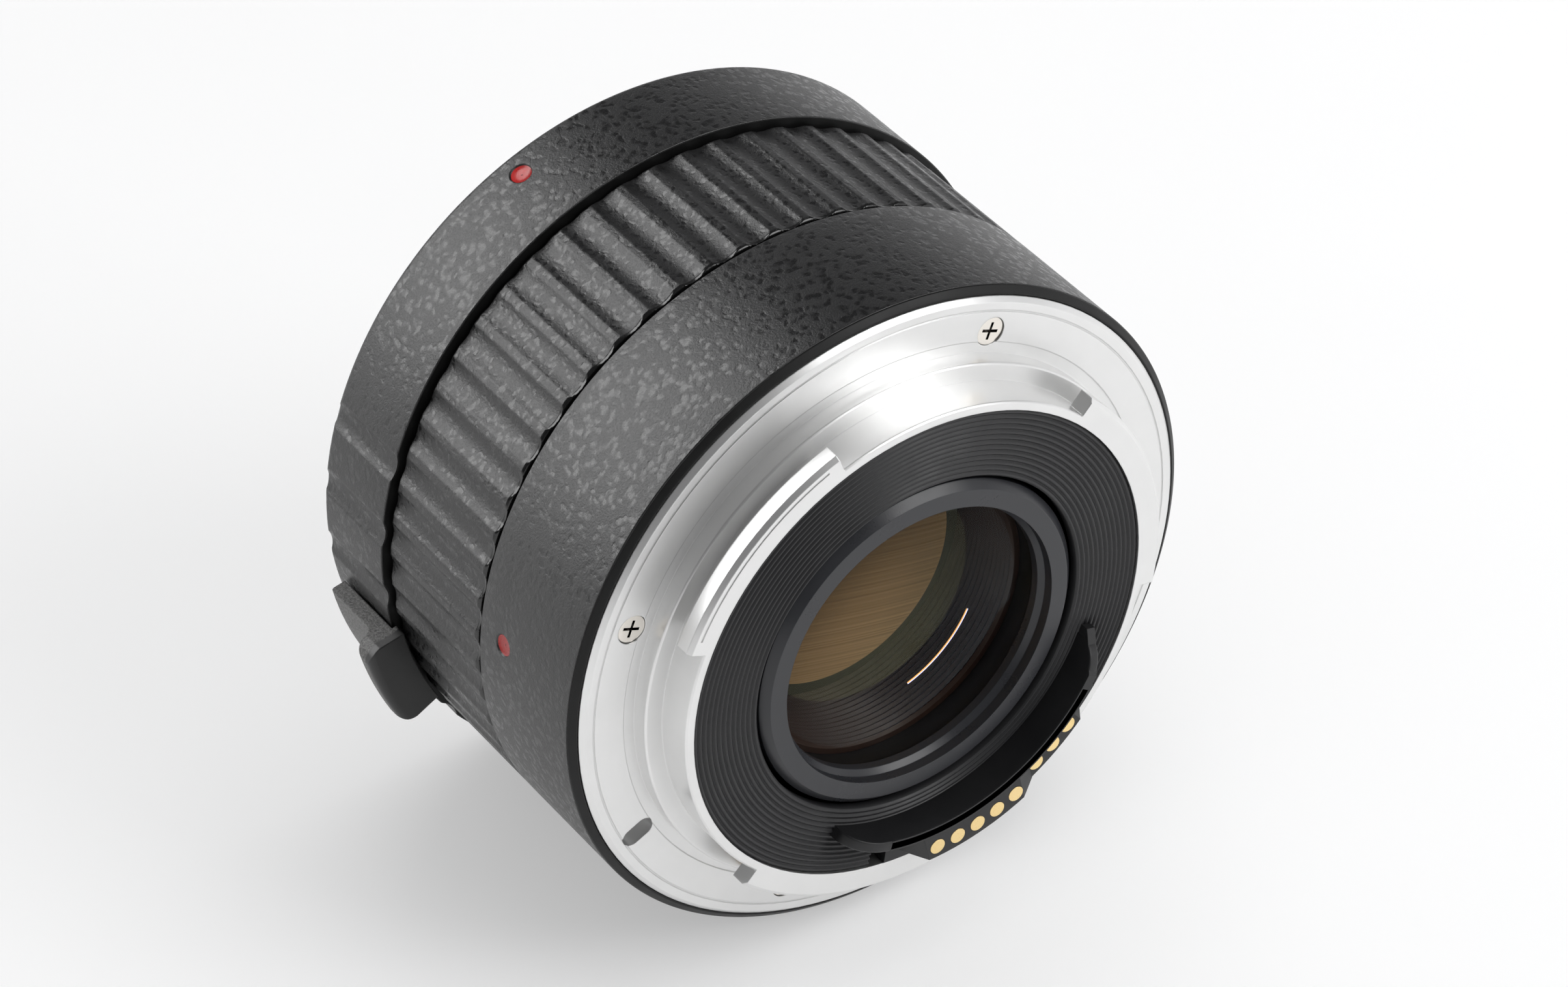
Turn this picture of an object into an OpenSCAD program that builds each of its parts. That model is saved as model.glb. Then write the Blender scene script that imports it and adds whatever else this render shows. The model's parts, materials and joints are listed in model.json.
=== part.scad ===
// Camera teleconverter lying on its side, in millimetres.
// Every piece is drawn in a lens frame: z runs along the optical axis towards the camera,
// with zero at the rear flange face, and clock angles are seen from the camera side.
// The lens frame is then laid down, so that the camera side faces -Y and +Z is up.

/* [Mount] */
// Radius of the front throat that takes a lens
throat_r = 27; // [26:0.1:29]
// Radial clearance of the bayonet in the throat
bayonet_gap = 0.05; // [0.02:0.01:0.15]
// Radial height of the bayonet lugs
lug_h = 1.75; // [1.4:0.05:2]
// Axial thickness of the bayonet lugs
lug_t = 1.85; // [1.5:0.05:2]
// Wall of the bayonet tube
bayonet_wall = 0.86; // [0.6:0.02:1.2]
// Height of the bayonet above the rear flange face
bayonet_len = 5.45; // [5.3:0.05:6.5]
// Height of the locating spigot above the rear flange face
spigot_h = 1.7; // [1.4:0.05:1.9]
// Radial width of the rear flange outside the throat
flange_w = 5.5; // [5:0.1:7]
// Thickness of the mount flanges
flange_t = 2; // [1.7:0.1:2.4]
// Edge chamfer of the rear flange
flange_chamfer = 0.45; // [0.2:0.05:0.8]
// Angle that a lens turns through from entry to lock
mount_turn = 60; // [56:1:62]
// Width of the lock slot
lock_slot_w = 1.9; // [1.6:0.1:2.2]
// Radial length of the lock slot
lock_slot_len = 3.3; // [2.6:0.1:3.6]
// Number of screws in each mount
mount_screws = 4; // [3:1:4]
// Head radius of the mount screws
mount_head_r = 1.4; // [1.1:0.05:1.5]
// Shank radius of the mount screws
mount_shank_r = 0.75; // [0.5:0.05:0.8]
// Length of the mount screws
mount_screw_len = 5.6; // [4:0.1:7]
// Radius of the stop pin beside the second lug
stop_pin_r = 0.7; // [0.4:0.05:0.75]

/* [Body] */
// Distance from the rear flange face to the front flange face
mount_length = 41.5; // [40.5:0.5:60]
// Radial width of the black rim around the rear flange
rim_w = 0.9; // [0.6:0.1:2]
// Wall of the outer sleeves
sleeve_wall = 2.3; // [2:0.1:2.6]
// Step from the rear barrel out to the front collar
collar_step = 0.6; // [0.2:0.1:1.2]
// Length of the front collar
collar_len = 10.45; // [10:0.05:12]
// Width of the groove behind the collar
groove_w = 0.4; // [0.3:0.05:1]
// Depth of the groove behind the collar
groove_depth = 1.4; // [0.8:0.1:1.8]
// Length of the fluted grip
grip_len = 14.95; // [13:0.05:17]
// Width of the seam between the grip and the rear barrel
seam_w = 0.5; // [0.2:0.05:0.8]
// Number of flutes around the grip
grip_flutes = 60; // [40:1:80]
// Depth of the flutes
flute_depth = 0.4; // [0.2:0.05:0.6]
// Number of flutes in the collar on each side of the lever
collar_flutes = 3; // [2:1:4]
// Radial width of the collar's lip around the front flange
front_lip = 2; // [1.6:0.1:2.2]
// Wall of the inner frame tube
chassis_wall = 2.05; // [1.5:0.05:2.4]
// Depth of the front throat, down to the web of the frame
throat_depth = 13.3; // [12.9:0.1:14.5]
// Thickness of the web that carries the lens cell
web_t = 2.5; // [2.2:0.1:3]
// Length of the frame's solid rear end
rear_end_len = 6; // [5:0.1:8]
// Radius of the red mount marks
mark_r = 1; // [0.5:0.05:1.2]

/* [Optics] */
// Distance from the bayonet's bore in to the lens cell
cell_inset = 7.34; // [6.74:0.02:7.74]
// Gap between the lens cell and the ridged baffle
cell_gap = 0.5; // [0.3:0.05:0.8]
// Wall of the lens cell around the rear glass
cell_wall = 2.2; // [1.6:0.1:3]
// Radius of the two cemented pairs
core_glass_r = 11; // [9.5:0.1:11.3]
// Radius of the front glass
front_glass_r = 12; // [11.8:0.1:13]
// Number of ridges on the rear baffle
baffle_ridges = 13; // [6:1:16]
// Height of the ridges
ridge_h = 0.2; // [0.1:0.02:0.3]

/* [Contacts] */
// Distance from the bayonet's bore in to the row of contacts
contact_inset = 2.15; // [2:0.01:2.4]
// Angle between neighbouring contacts
contact_pitch = 5.86; // [5.5:0.02:6.2]
// Radius of a contact pad
pad_r = 0.79; // [0.5:0.01:0.85]
// Height of the taller contact land above the rear flange face
contact_h = 8.05; // [7.8:0.05:8.6]
// Step down to the land of the last three contacts
contact_step = 1; // [0.8:0.05:1.2]
// Thickness of the curved wall beside the contacts
fin_t = 1.05; // [0.8:0.05:1.3]
// Height of the curved wall above the taller land
fin_rise = 0.45; // [0.2:0.05:0.8]
// Radius of a sprung front contact pin
pin_r = 0.55; // [0.4:0.05:0.6]
// Travel of a sprung front contact pin
pin_travel = 1; // [0.6:0.1:1.1]

/* [Release] */
// Arc of the lever seen along the axis
lever_arc = 16.4; // [13:0.2:18]
// Height of the lever's bar above the collar
bar_rise = 1.7; // [1.2:0.1:2.4]
// Height of the thumb tab above the collar
tab_rise = 3.8; // [3.4:0.1:5]
// Thickness of the thumb tab along the axis
tab_t = 2.35; // [1.8:0.05:3.5]
// Travel of the lever towards the camera
lever_travel = 2; // [1.4:0.1:2.2]
// Radius of the lock pin
lock_pin_r = 0.9; // [0.7:0.05:0.9]
// How far the lock pin stands out of the front flange
lock_pin_out = 1.3; // [0.8:0.1:1.8]

/* [Fits] */
// Gap of sleeves, glass and screws that stay put
fit_gap = 0.05; // [0.02:0.01:0.08]
// Radial clearance of pins that slide in their bores
slide_gap = 0.05; // [0.02:0.01:0.08]
// Gap between moving pieces that do not guide each other
move_gap = 0.3; // [0.2:0.05:0.35]
// Thickness of the mount shims
shim_t = 0.1; // [0.05:0.05:0.2]
// Thickness of the cement between glass elements
cement_gap = 0.02; // [0.01:0.01:0.05]

/* [Hidden] */
$fn = 128;
over = 0.5;
edge = 0.15;

// Clock angles of the features. The part has rolled a little from the mark being on top.
lie_roll = 23;
top_angle = 90 + lie_roll;
rear_mark_angle = top_angle + mount_turn;
lock_angle = top_angle + 92;
lever_angle = lock_angle - 5;
contact_angle = top_angle + 180;
screw_angle = top_angle + 45;

// Rear mount
lug_start = [top_angle - 3.2, top_angle + 111.8, top_angle - 123.2];
lug_arc = [47, 53, 57];
spigot_r = throat_r - bayonet_gap;
barrel_r = spigot_r - lug_h;
bore_r = barrel_r - bayonet_wall;
flange_r = throat_r + flange_w;
cell_r = bore_r - cell_inset;
rear_glass_r = cell_r - cell_wall;
lug_z = bayonet_len - lug_t;
lug_chamfer = 0.4;
relief_r = spigot_r + 1.15;
relief_d = 0.12;
line_r = flange_r - 1.3;
line_w = 0.16;
line_d = 0.1;
lug_line_r = spigot_r - 0.85;
lug_line_margin = 3;
screw_circle_r = flange_r - 3.4;
screw_sink = 0.15;
lock_r = flange_r - 2.85;
stop_pin_z = (spigot_h + lug_z) / 2;
stop_pin_angle = lug_start[1] + 6.7;
stop_pin_half = asin((stop_pin_r + move_gap) / barrel_r);
stop_pin_out_r = spigot_r - 0.35;

// Outer body
body_r = flange_r + rim_w;
collar_r = body_r + collar_step;
chassis_r = body_r - sleeve_wall - fit_gap;
sleeve_in_r = chassis_r + fit_gap;
groove_r = body_r - groove_depth;
front_z = -mount_length;
collar_z1 = front_z + collar_len;
grip_z0 = collar_z1 + groove_w;
grip_z1 = grip_z0 + grip_len;
rim_z = -flange_chamfer;
rim_bevel = 0.6;
collar_chamfer = 0.7;
barrel_z0 = grip_z1 + seam_w;
flute_pitch = 360 / grip_flutes;
flute_half = 0.39 * flute_pitch;
flute_steps = 8;
collar_flute_half_w = collar_r * sin(flute_half);
collar_flute_r = (pow(collar_flute_half_w, 2) + pow(flute_depth, 2)) / (2 * flute_depth);
collar_flute_first = 2.5;
mark_depth = 0.35;
mark_sink = 0.12;
rear_mark_z = -11.55;
front_mark_z = front_z + 3.05;

// Front mount
axial_gap = 0.1;
leaf_t = 0.2;
leaf_margin = 6;
female_margin = 1;
female_start = [lug_start[0] + female_margin, stop_pin_angle + stop_pin_half, lug_start[2] + female_margin];
female_end = [for (i = [0:2]) lug_start[i] + lug_arc[i] - female_margin];
female_lug_r = barrel_r + 0.15;
female_lug_d0 = spigot_h + axial_gap;
female_lug_d1 = lug_z - axial_gap - leaf_t;
female_depth = lug_z - axial_gap;
throat_relief_r = throat_r + 0.45;
female_sleeve_r = throat_r + 1.2;
front_ring_r = collar_r - front_lip - fit_gap;
front_screw_r = (female_sleeve_r + chassis_r) / 2;

// Inner frame, in two pieces: the web of the rear piece sits in a socket of the front one
front_seat_z = front_z + flange_t + shim_t;
rear_seat_z = -flange_t - shim_t;
cavity_r = throat_r + 0.6;
sleeve_seat_r = female_sleeve_r + 0.1;
sleeve_seat_z = front_z + female_depth + axial_gap;
web_z0 = front_z + throat_depth;
web_z1 = web_z0 + web_t;
tube_in_r = chassis_r - chassis_wall;
socket_r = tube_in_r + 0.9;
rear_end_z = rear_seat_z - rear_end_len;
ledge_z = rear_seat_z - 0.9;
ledge_in_r = bore_r - 1.85;
ledge_out_r = bore_r + fit_gap;
cell_seat_r = cell_r + fit_gap;

// Rear baffle and contacts
baffle_in_r = cell_r + cell_gap;
baffle_out_r = bore_r - fit_gap;
baffle_top = bayonet_len - 0.15;
baffle_t = 1.1;
baffle_skirt_t = 1.05;
ridge_pitch = (baffle_out_r - baffle_in_r) / baffle_ridges;
contact_r = bore_r - contact_inset;
contact_count = 8;
tall_count = 5;
contact_split = 2.9;
contact_first = -((contact_count - 1) * contact_pitch + contact_split) / 2;
fin_inset = 1.94;
fin_out_r = contact_r - fin_inset;
fin_in_r = fin_out_r - fin_t;
fin_z = contact_h + fin_rise;
fin_half = -contact_first + 26.5;
fin_flat_half = fin_half - 10.5;
fin_slope = 34;
land_out_r = contact_r + 1.25;
block_half = -contact_first + 10;
block_base_z = bayonet_len + 0.05;
block_gap = 0.3;
block_in_r = fin_out_r - fin_t / 2;
land_half = -contact_first + 3;
tall_slope = 60;
low_slope = 49;
land_root = 1;
low_inset = 0.12;
ramp_reach = 14;
step_slope = 30;
step_angle = contact_turn(tall_count - 1) + asin(pad_r / contact_r);
low_h = contact_h - contact_step;
pad_proud = 0.03;
pad_depth = 3;

// Front contacts, whose pins meet pads like the rear ones
pin_press = 0.3;
pin_proud = pin_travel + 0.25;
pin_tall_tip = front_z + contact_h - pin_press;
pin_low_tip = front_z + low_h - pin_press;
pin_round = 0.25;
pin_guide = 1.2;
pin_collar_r = pin_r + 0.25;
pin_collar_t = 0.6;
pin_collar_z = pin_tall_tip + pin_proud + pin_guide;
pin_bore_r = pin_collar_r + 0.1;
front_block_z = web_z0 - 2.8;
front_block_in_r = contact_r - 2.2;
front_block_out_r = cavity_r - 0.15;
front_land_in_r = contact_r - 1.15;
front_land_out_r = contact_r + 1.6;
front_block_screw_r = cavity_r - 2;
front_block_screw_turn = block_half - 3.4;
front_baffle_t = 0.7;
small_head_r = 0.95;
small_shank_r = 0.5;
small_screw_len = 4.4;
head_t = 0.25;
cross_w = 0.28;
pin_wire_r = 0.1;
pin_spring_r = pin_collar_r - 0.1 - pin_wire_r;
pin_spring_turns = 3;

// Optics: front vertex and rear vertex of each element, with its two radii of curvature.
// A radius is positive where the face bulges. The front group follows the web.
lens_z = [
  [web_z0 - 1.8, web_z0 + 0.6],
  [web_z0 + 3.6, web_z0 + 5],
  [web_z0 + 5 + cement_gap, web_z0 + 10.3],
  [-14.9, -13.5],
  [-13.5 + cement_gap, -8.1],
  [-1, 4.7]
];
lens_curve = [[45, -120], [-60, -24], [24, 40], [-38, -26], [26, 34], [80, 60]];
lens_r = [front_glass_r, core_glass_r, core_glass_r, core_glass_r, core_glass_r, rear_glass_r];
core_bore_r = core_glass_r + fit_gap;
front_bore_r = front_glass_r + fit_gap;
rear_bore_r = rear_glass_r + fit_gap;
core_lip_r = core_glass_r - 0.8;
core_lip_t = 1;
core_end_z = seat_of(4, 1, core_lip_r);
front_shoulder_z = seat_of(0, 1, core_bore_r);
cell_z0 = web_z0 - 2.5;
cell_z1 = bayonet_len - 1.85;
cell_flange_r = cell_r + 2.6;
cell_flange_t = 2;
cell_screw_r = cell_r + 1.45;
cell_head_r = 0.9;
cell_shank_r = 0.45;
cell_screw_len = web_t + 1.4;
core_ring_in_r = core_glass_r - 1.1;
core_ring_z0 = front_shoulder_z + 0.3;
spacer_in_r = rear_glass_r - 0.9;
spacer_z0 = core_end_z + core_lip_t;
spacer_z1 = seat_of(5, -1, spacer_in_r);
spacer_ridge = 0.3;
spacer_ridges = 14;
ring_in_r = rear_glass_r - 0.3;
ring_lip_r = rear_glass_r - 0.8;
ring_foot_z = seat_of(5, 1, ring_lip_r);
ring_face_z = bayonet_len - 0.03;
ring_bevel = 0.75;
front_ring_in_r = front_glass_r - 0.7;
front_ring_out_r = front_glass_r + 1.4;
front_ring_t = 0.6;
front_ring_foot_z = seat_of(0, -1, front_ring_in_r);

// Release mechanism
foot_r = collar_r + move_gap / 2;
bar_r = collar_r + bar_rise;
bar_z0 = front_z + 2.4;
bar_round = 0.35;
tab_top_r = collar_r + tab_rise;
tab_foot_r = body_r + move_gap;
tab_foot_z = collar_z1 + move_gap;
tab_z0 = collar_z1 - 0.65;
tab_z1 = tab_z0 + tab_t;
tab_edge_round = 0.75;
tab_fillet = min(1, tab_rise - bar_rise - tab_edge_round - 0.1);
tab_corner_round = 1.8;
tab_corner_ease = 0.05;
arc_steps = 6;
slider_out_r = chassis_r - 0.25;
slider_in_r = female_sleeve_r + move_gap;
slider_half = 8.2;
slider_z0 = front_seat_z + 0.2;
slider_z1 = slider_z0 + 4.2;
pocket_half = slider_half + 1;
pocket_in_r = slider_in_r - move_gap;
pocket_z1 = slider_z1 + lever_travel + move_gap;
stem_half = 4.6;
stem_slot_half = stem_half + 0.6;
stem_z0 = slider_z0 + 0.6;
stem_z1 = slider_z1 - 0.4;
stem_screw_z = [stem_z0 + 0.7, stem_z1 - 0.7];
spring_angle = lever_angle - 4.6;
spring_bore_r = 1.15;
spring_bore_z = pocket_z1 + 2.6;
spring_wire_r = 0.14;
spring_r = spring_bore_r - 0.2 - spring_wire_r;
spring_turns = 7;
lever_head_r = 0.75;
lever_shank_r = 0.45;
lever_screw_len = collar_r - 1 - slider_in_r;

// Electronics
board_t = 1;
board_z = web_z1 + fit_gap;
board_in_r = cell_flange_r + 0.6;
board_out_r = tube_in_r - 0.3;
board_half = 58;
board_screw_r = board_out_r - 1.6;
board_screw_turn = board_half - 8;
board_screw_len = 2.6;
chip_turns = [-40, -22, 22, 40];
chip_size = [4.6, 4, 1.1];
chip_r = (board_in_r + board_out_r) / 2;
flex_t = 0.2;
flex_half = 8;
flex_notch_half = flex_half + 2;
flex_notch_gap = 0.9;
front_flex_r = contact_r + 2;
rear_flex_r = contact_r + 0.8;

// Depth of a spherical face between its vertex and its rim
function sag(curve, r) = curve - sqrt(curve * curve - r * r);

// Station of the rim of a spherical face; side is 1 for the rear face and -1 for the front one
function face_rim(z, curve, r, side) = z - side * sign(curve) * sag(abs(curve), r);

// Station of the rim of one face of a lens element
function rim_of(i, side) =
  let (k = side > 0 ? 1 : 0)
  face_rim(lens_z[i][k], lens_curve[i][k], lens_r[i], side);

// Station of a ring of that inner radius that seats on a face of a lens element.
// It meets a bulging face at its inner edge, and a hollow one at the rim of the glass.
function seat_of(i, side, r) =
  let (k = side > 0 ? 1 : 0, curve = lens_curve[i][k])
  face_rim(lens_z[i][k], curve, curve > 0 ? r : lens_r[i], side) + side * fit_gap;

// Clock angle of a contact, counted from the middle of the row
function contact_turn(i) = contact_first + i * contact_pitch + (i < tall_count ? 0 : contact_split);

// Height of a rear contact above the flange face
function contact_top(i) = i < tall_count ? contact_h : low_h;

// Station of the tip of a front contact pin
function pin_tip(i) = i < tall_count ? pin_tall_tip : pin_low_tip;

// Points of a round corner, as radius and station
function corner(r, z, round, a0, a1) = [
  for (i = [0:arc_steps])
    let (a = a0 + (a1 - a0) * i / arc_steps)
    [r + round * cos(a), z + round * sin(a)]
];

// Lays the lens frame down on its side
module lens_frame() {
  rotate([90, 0, 0])
    children();
}

// Turns children to a clock angle and moves them out to a radius
module at_clock(angle, r = 0) {
  rotate([0, 0, angle])
    translate([r, 0, 0])
      children();
}

// Repeats children on a screw circle
module on_screw_circle(r) {
  for (i = [0:mount_screws - 1])
    at_clock(screw_angle + i * 360 / mount_screws, r)
      children();
}

// Places of the rear mount's screws, whose heads are sunk a little
module place_rear_mount_screws() {
  on_screw_circle(screw_circle_r)
    translate([0, 0, -screw_sink])
      children();
}

// Places of the front mount's screws, driven from the front
module place_front_mount_screws() {
  on_screw_circle(front_screw_r)
    translate([0, 0, front_z + screw_sink])
      rotate([180, 0, 0])
        children();
}

// Tube between two stations
module tube(r_out, r_in, z0, z1) {
  translate([0, 0, z0])
    difference() {
      cylinder(r = r_out, h = z1 - z0);
      translate([0, 0, -over])
        cylinder(r = r_in, h = z1 - z0 + 2 * over);
    }
}

// Part of a tube between two clock angles
module arc_tube(r_out, r_in, z0, z1, a0, a1) {
  rotate([0, 0, a0])
    rotate_extrude(angle = a1 - a0)
      translate([r_in, z0])
        square([r_out - r_in, z1 - z0]);
}

// Straight pin that points outwards at a clock angle
module radial_pin(angle, z, r, r0, r1) {
  at_clock(angle, r0)
    translate([0, 0, z])
      rotate([0, 90, 0])
        cylinder(r = r, h = r1 - r0);
}

// Solid of a countersunk screw below the origin; gap widens it to the hole that takes it
module screw_shape(head_r, shank_r, length, gap, top) {
  cone = head_r - shank_r;
  rotate_extrude()
    polygon([
      [0, -length],
      [shank_r + gap, -length],
      [shank_r + gap, -head_t - cone - gap],
      [head_r + gap, -head_t - gap],
      [head_r + gap, top],
      [0, top]
    ]);
}

// Countersunk screw with a cross recess, head at the origin and shank along -z
module screw(head_r, shank_r, length) {
  difference() {
    screw_shape(head_r, shank_r, length, 0, 0);
    for (turn = [0, 90])
      rotate([0, 0, turn])
        translate([-head_r * 0.62, -cross_w / 2, -head_t - 0.15])
          cube([head_r * 1.24, cross_w, head_t + 0.15 + over]);
  }
}

// Hole for a countersunk screw
module screw_hole(head_r, shank_r, length) {
  screw_shape(head_r, shank_r, length + fit_gap, fit_gap, over);
}

// Round wire wound into a coil spring along z, as one closed surface of triangles
module coil(r, wire_r, z0, z1, turns) {
  rings = turns * 8;
  sides = 6;
  rise = z1 - z0 - 2 * wire_r;
  points = [
    for (i = [0:rings])
      let (a = 360 * turns * i / rings)
      for (k = [0:sides - 1])
        let (b = 360 * k / sides, reach = r + wire_r * cos(b))
        [reach * cos(a), reach * sin(a), z0 + wire_r + rise * i / rings + wire_r * sin(b)]
  ];
  skin = [
    for (i = [0:rings - 1])
      for (k = [0:sides - 1])
        let (n = (k + 1) % sides, here = i * sides, next = here + sides)
        for (face = [[here + k, here + n, next + n], [here + k, next + n, next + k]])
          face
  ];
  first_cap = [for (k = [1:sides - 2]) [0, k + 1, k]];
  last = rings * sides;
  last_cap = [for (k = [1:sides - 2]) [last, last + k, last + k + 1]];
  polyhedron(points = points, faces = concat(skin, first_cap, last_cap));
}

// Everything on the far side of a slope that starts at a clock angle and falls away from it
module end_ramp(angle, z, slope, side) {
  far = 20;
  rotate([0, 0, angle])
    translate([0, 0, z])
      rotate([-side * slope, 0, 0])
        translate([0, side > 0 ? -over : over - far, 0])
          cube([2 * far, far, far]);
}

// Ball that bounds a bulging face, or a plain block where the face is hollow
module bulge(z, curve, r, side) {
  if (curve > 0)
    translate([0, 0, z - side * curve])
      sphere(r = curve);
  else
    translate([0, 0, z - r])
      cylinder(r = r + 1, h = 2 * r);
}

// Ball that hollows a face out
module hollow(z, curve, side) {
  if (curve < 0)
    translate([0, 0, z - side * curve])
      sphere(r = -curve);
}

// Lens element with two spherical faces
module glass(i) {
  z = lens_z[i];
  curve = lens_curve[i];
  r = lens_r[i];
  low = min(z[0], rim_of(i, -1));
  high = max(z[1], rim_of(i, 1));
  color("lightcyan", 0.5)
    lens_frame()
      difference() {
        intersection() {
          translate([0, 0, low])
            cylinder(r = r, h = high - low);
          bulge(z[0], curve[0], r, -1);
          bulge(z[1], curve[1], r, 1);
        }
        hollow(z[0], curve[0], -1);
        hollow(z[1], curve[1], 1);
      }
}

// Rear sleeve with the bevelled rim around the flange
module rear_barrel() {
  rim_in_r = flange_r + fit_gap;
  color("#3a3b3c")
    lens_frame()
      difference() {
        rotate_extrude()
          polygon([
            [sleeve_in_r, barrel_z0],
            [body_r - edge, barrel_z0],
            [body_r, barrel_z0 + edge],
            [body_r, rim_z - rim_bevel],
            [rim_in_r + edge, rim_z],
            [rim_in_r, rim_z],
            [rim_in_r, -flange_t],
            [sleeve_in_r, -flange_t]
          ]);
        radial_pin(rear_mark_angle, rear_mark_z, mark_r + fit_gap, body_r - mark_depth, body_r + over);
      }
}

// Fluted grip sleeve
module grip_ring() {
  color("#262627")
    lens_frame()
      difference() {
        translate([0, 0, grip_z0])
          linear_extrude(height = grip_len)
            polygon([
              for (i = [0:grip_flutes - 1])
                for (step = [0:flute_steps])
                  let (across = 2 * step / flute_steps - 1)
                  let (a = top_angle + i * flute_pitch + across * flute_half)
                  let (r = body_r - flute_depth * (1 - across * across))
                  [r * cos(a), r * sin(a)]
            ]);
        translate([0, 0, grip_z0 - over])
          cylinder(r = sleeve_in_r, h = grip_len + 2 * over);
      }
}

// Front sleeve with the slot for the lever and flutes beside it
module front_collar() {
  seat_r = front_ring_r + fit_gap;
  color("#363738")
    lens_frame()
      difference() {
        rotate_extrude()
          polygon([
            [seat_r, front_z],
            [collar_r - collar_chamfer, front_z],
            [collar_r, front_z + collar_chamfer],
            [collar_r, collar_z1 - edge],
            [collar_r - edge, collar_z1],
            [sleeve_in_r, collar_z1],
            [sleeve_in_r, front_z + flange_t],
            [seat_r, front_z + flange_t]
          ]);
        for (side = [-1, 1])
          for (i = [0:collar_flutes - 1])
            at_clock(
              lever_angle + side * (collar_flute_first + 2 * i) * flute_pitch,
              collar_r + collar_flute_r - flute_depth
            )
              translate([0, 0, front_z - over])
                cylinder(r = collar_flute_r, h = collar_len + 2 * over);
        arc_tube(
          collar_r + over, sleeve_in_r - over, stem_z0 - move_gap, stem_z1 + lever_travel + move_gap,
          lever_angle - stem_slot_half, lever_angle + stem_slot_half
        );
        radial_pin(top_angle, front_mark_z, mark_r + fit_gap, collar_r - mark_depth, collar_r + over);
      }
}

// Front piece of the inner frame: the wall of the throat, with a socket for the web
module front_frame() {
  color("#6d6f72")
    lens_frame()
      difference() {
        rotate_extrude()
          polygon([
            [sleeve_seat_r, front_seat_z],
            [chassis_r, front_seat_z],
            [chassis_r, collar_z1],
            [groove_r, collar_z1],
            [groove_r, grip_z0],
            [chassis_r, grip_z0],
            [chassis_r, web_z1],
            [socket_r, web_z1],
            [socket_r, web_z0],
            [cavity_r, web_z0],
            [cavity_r, sleeve_seat_z],
            [sleeve_seat_r, sleeve_seat_z]
          ]);
        release_cuts();
        place_front_mount_screws()
          screw_hole(mount_head_r, mount_shank_r, mount_screw_len);
      }
}

// Rear piece of the inner frame: web for the lens cell, tube and solid rear end
module chassis() {
  color("#6d6f72")
    lens_frame()
      difference() {
        rotate_extrude()
          polygon([
            [cell_seat_r, web_z0],
            [socket_r - fit_gap, web_z0],
            [socket_r - fit_gap, web_z1 + fit_gap],
            [chassis_r, web_z1 + fit_gap],
            [chassis_r, rear_seat_z],
            [ledge_out_r, rear_seat_z],
            [ledge_out_r, ledge_z],
            [ledge_in_r, ledge_z],
            [ledge_in_r, rear_end_z],
            [tube_in_r, rear_end_z],
            [tube_in_r, web_z1],
            [cell_seat_r, web_z1]
          ]);
        chassis_screw_holes();
        chassis_flex_notches();
      }
}

// Pocket of the lock slider and bore of its spring
module release_cuts() {
  arc_tube(
    chassis_r + over, pocket_in_r, front_seat_z - over, pocket_z1,
    lever_angle - pocket_half, lever_angle + pocket_half
  );
  at_clock(spring_angle, lock_r)
    translate([0, 0, pocket_z1 - over])
      cylinder(r = spring_bore_r, h = spring_bore_z - pocket_z1 + over);
}

// Tapped holes of the rear piece
module chassis_screw_holes() {
  place_rear_mount_screws()
    screw_hole(mount_head_r, mount_shank_r, mount_screw_len);
  place_cell_screws()
    screw_hole(cell_head_r, cell_shank_r, cell_screw_len);
  place_front_block_screws()
    screw_hole(small_head_r, small_shank_r, small_screw_len);
  place_rear_block_screws()
    screw_hole(small_head_r, small_shank_r, rear_end_len + 1);
  place_board_screws()
    screw_hole(small_head_r, small_shank_r, board_screw_len);
}

// Gaps that let the flat cables through
module chassis_flex_notches() {
  arc_tube(
    front_flex_r + flex_notch_gap, front_flex_r - flex_notch_gap, web_z0 - over, web_z1 + over,
    contact_angle - flex_notch_half, contact_angle + flex_notch_half
  );
  arc_tube(
    rear_flex_r + flex_notch_gap, ledge_in_r - over, rear_end_z - over, ledge_z + over,
    contact_angle - flex_notch_half, contact_angle + flex_notch_half
  );
}

// Places of the screws that hold the lens cell, driven from the front
module place_cell_screws() {
  for (turn = [30, 150, 270])
    at_clock(top_angle + turn, cell_screw_r)
      translate([0, 0, web_z0])
        rotate([180, 0, 0])
          children();
}

// Places of the screws that hold the front contact block, driven from the front
module place_front_block_screws() {
  for (side = [-1, 1])
    at_clock(contact_angle + side * front_block_screw_turn, front_block_screw_r)
      translate([0, 0, front_block_z])
        rotate([180, 0, 0])
          children();
}

// Places of the screws that hold the rear contact block, driven from inside the frame
module place_rear_block_screws() {
  for (side = [-1, 1])
    at_clock(contact_angle + side * (block_half - 9), (ledge_in_r + ledge_out_r) / 2)
      translate([0, 0, rear_end_z])
        rotate([180, 0, 0])
          children();
}

// Places of the screws that hold the circuit board, driven from behind
module place_board_screws() {
  for (side = [-1, 1])
    at_clock(contact_angle + side * board_screw_turn, board_screw_r)
      translate([0, 0, board_z + board_t])
        children();
}

// Red mark sunk into the rear barrel
module rear_index_dot() {
  color("#b3261c")
    lens_frame()
      radial_pin(rear_mark_angle, rear_mark_z, mark_r, body_r - mark_depth, body_r - mark_sink);
}

// Red mark sunk into the front collar
module front_index_dot() {
  color("#b3261c")
    lens_frame()
      radial_pin(top_angle, front_mark_z, mark_r, collar_r - mark_depth, collar_r - mark_sink);
}

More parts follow.
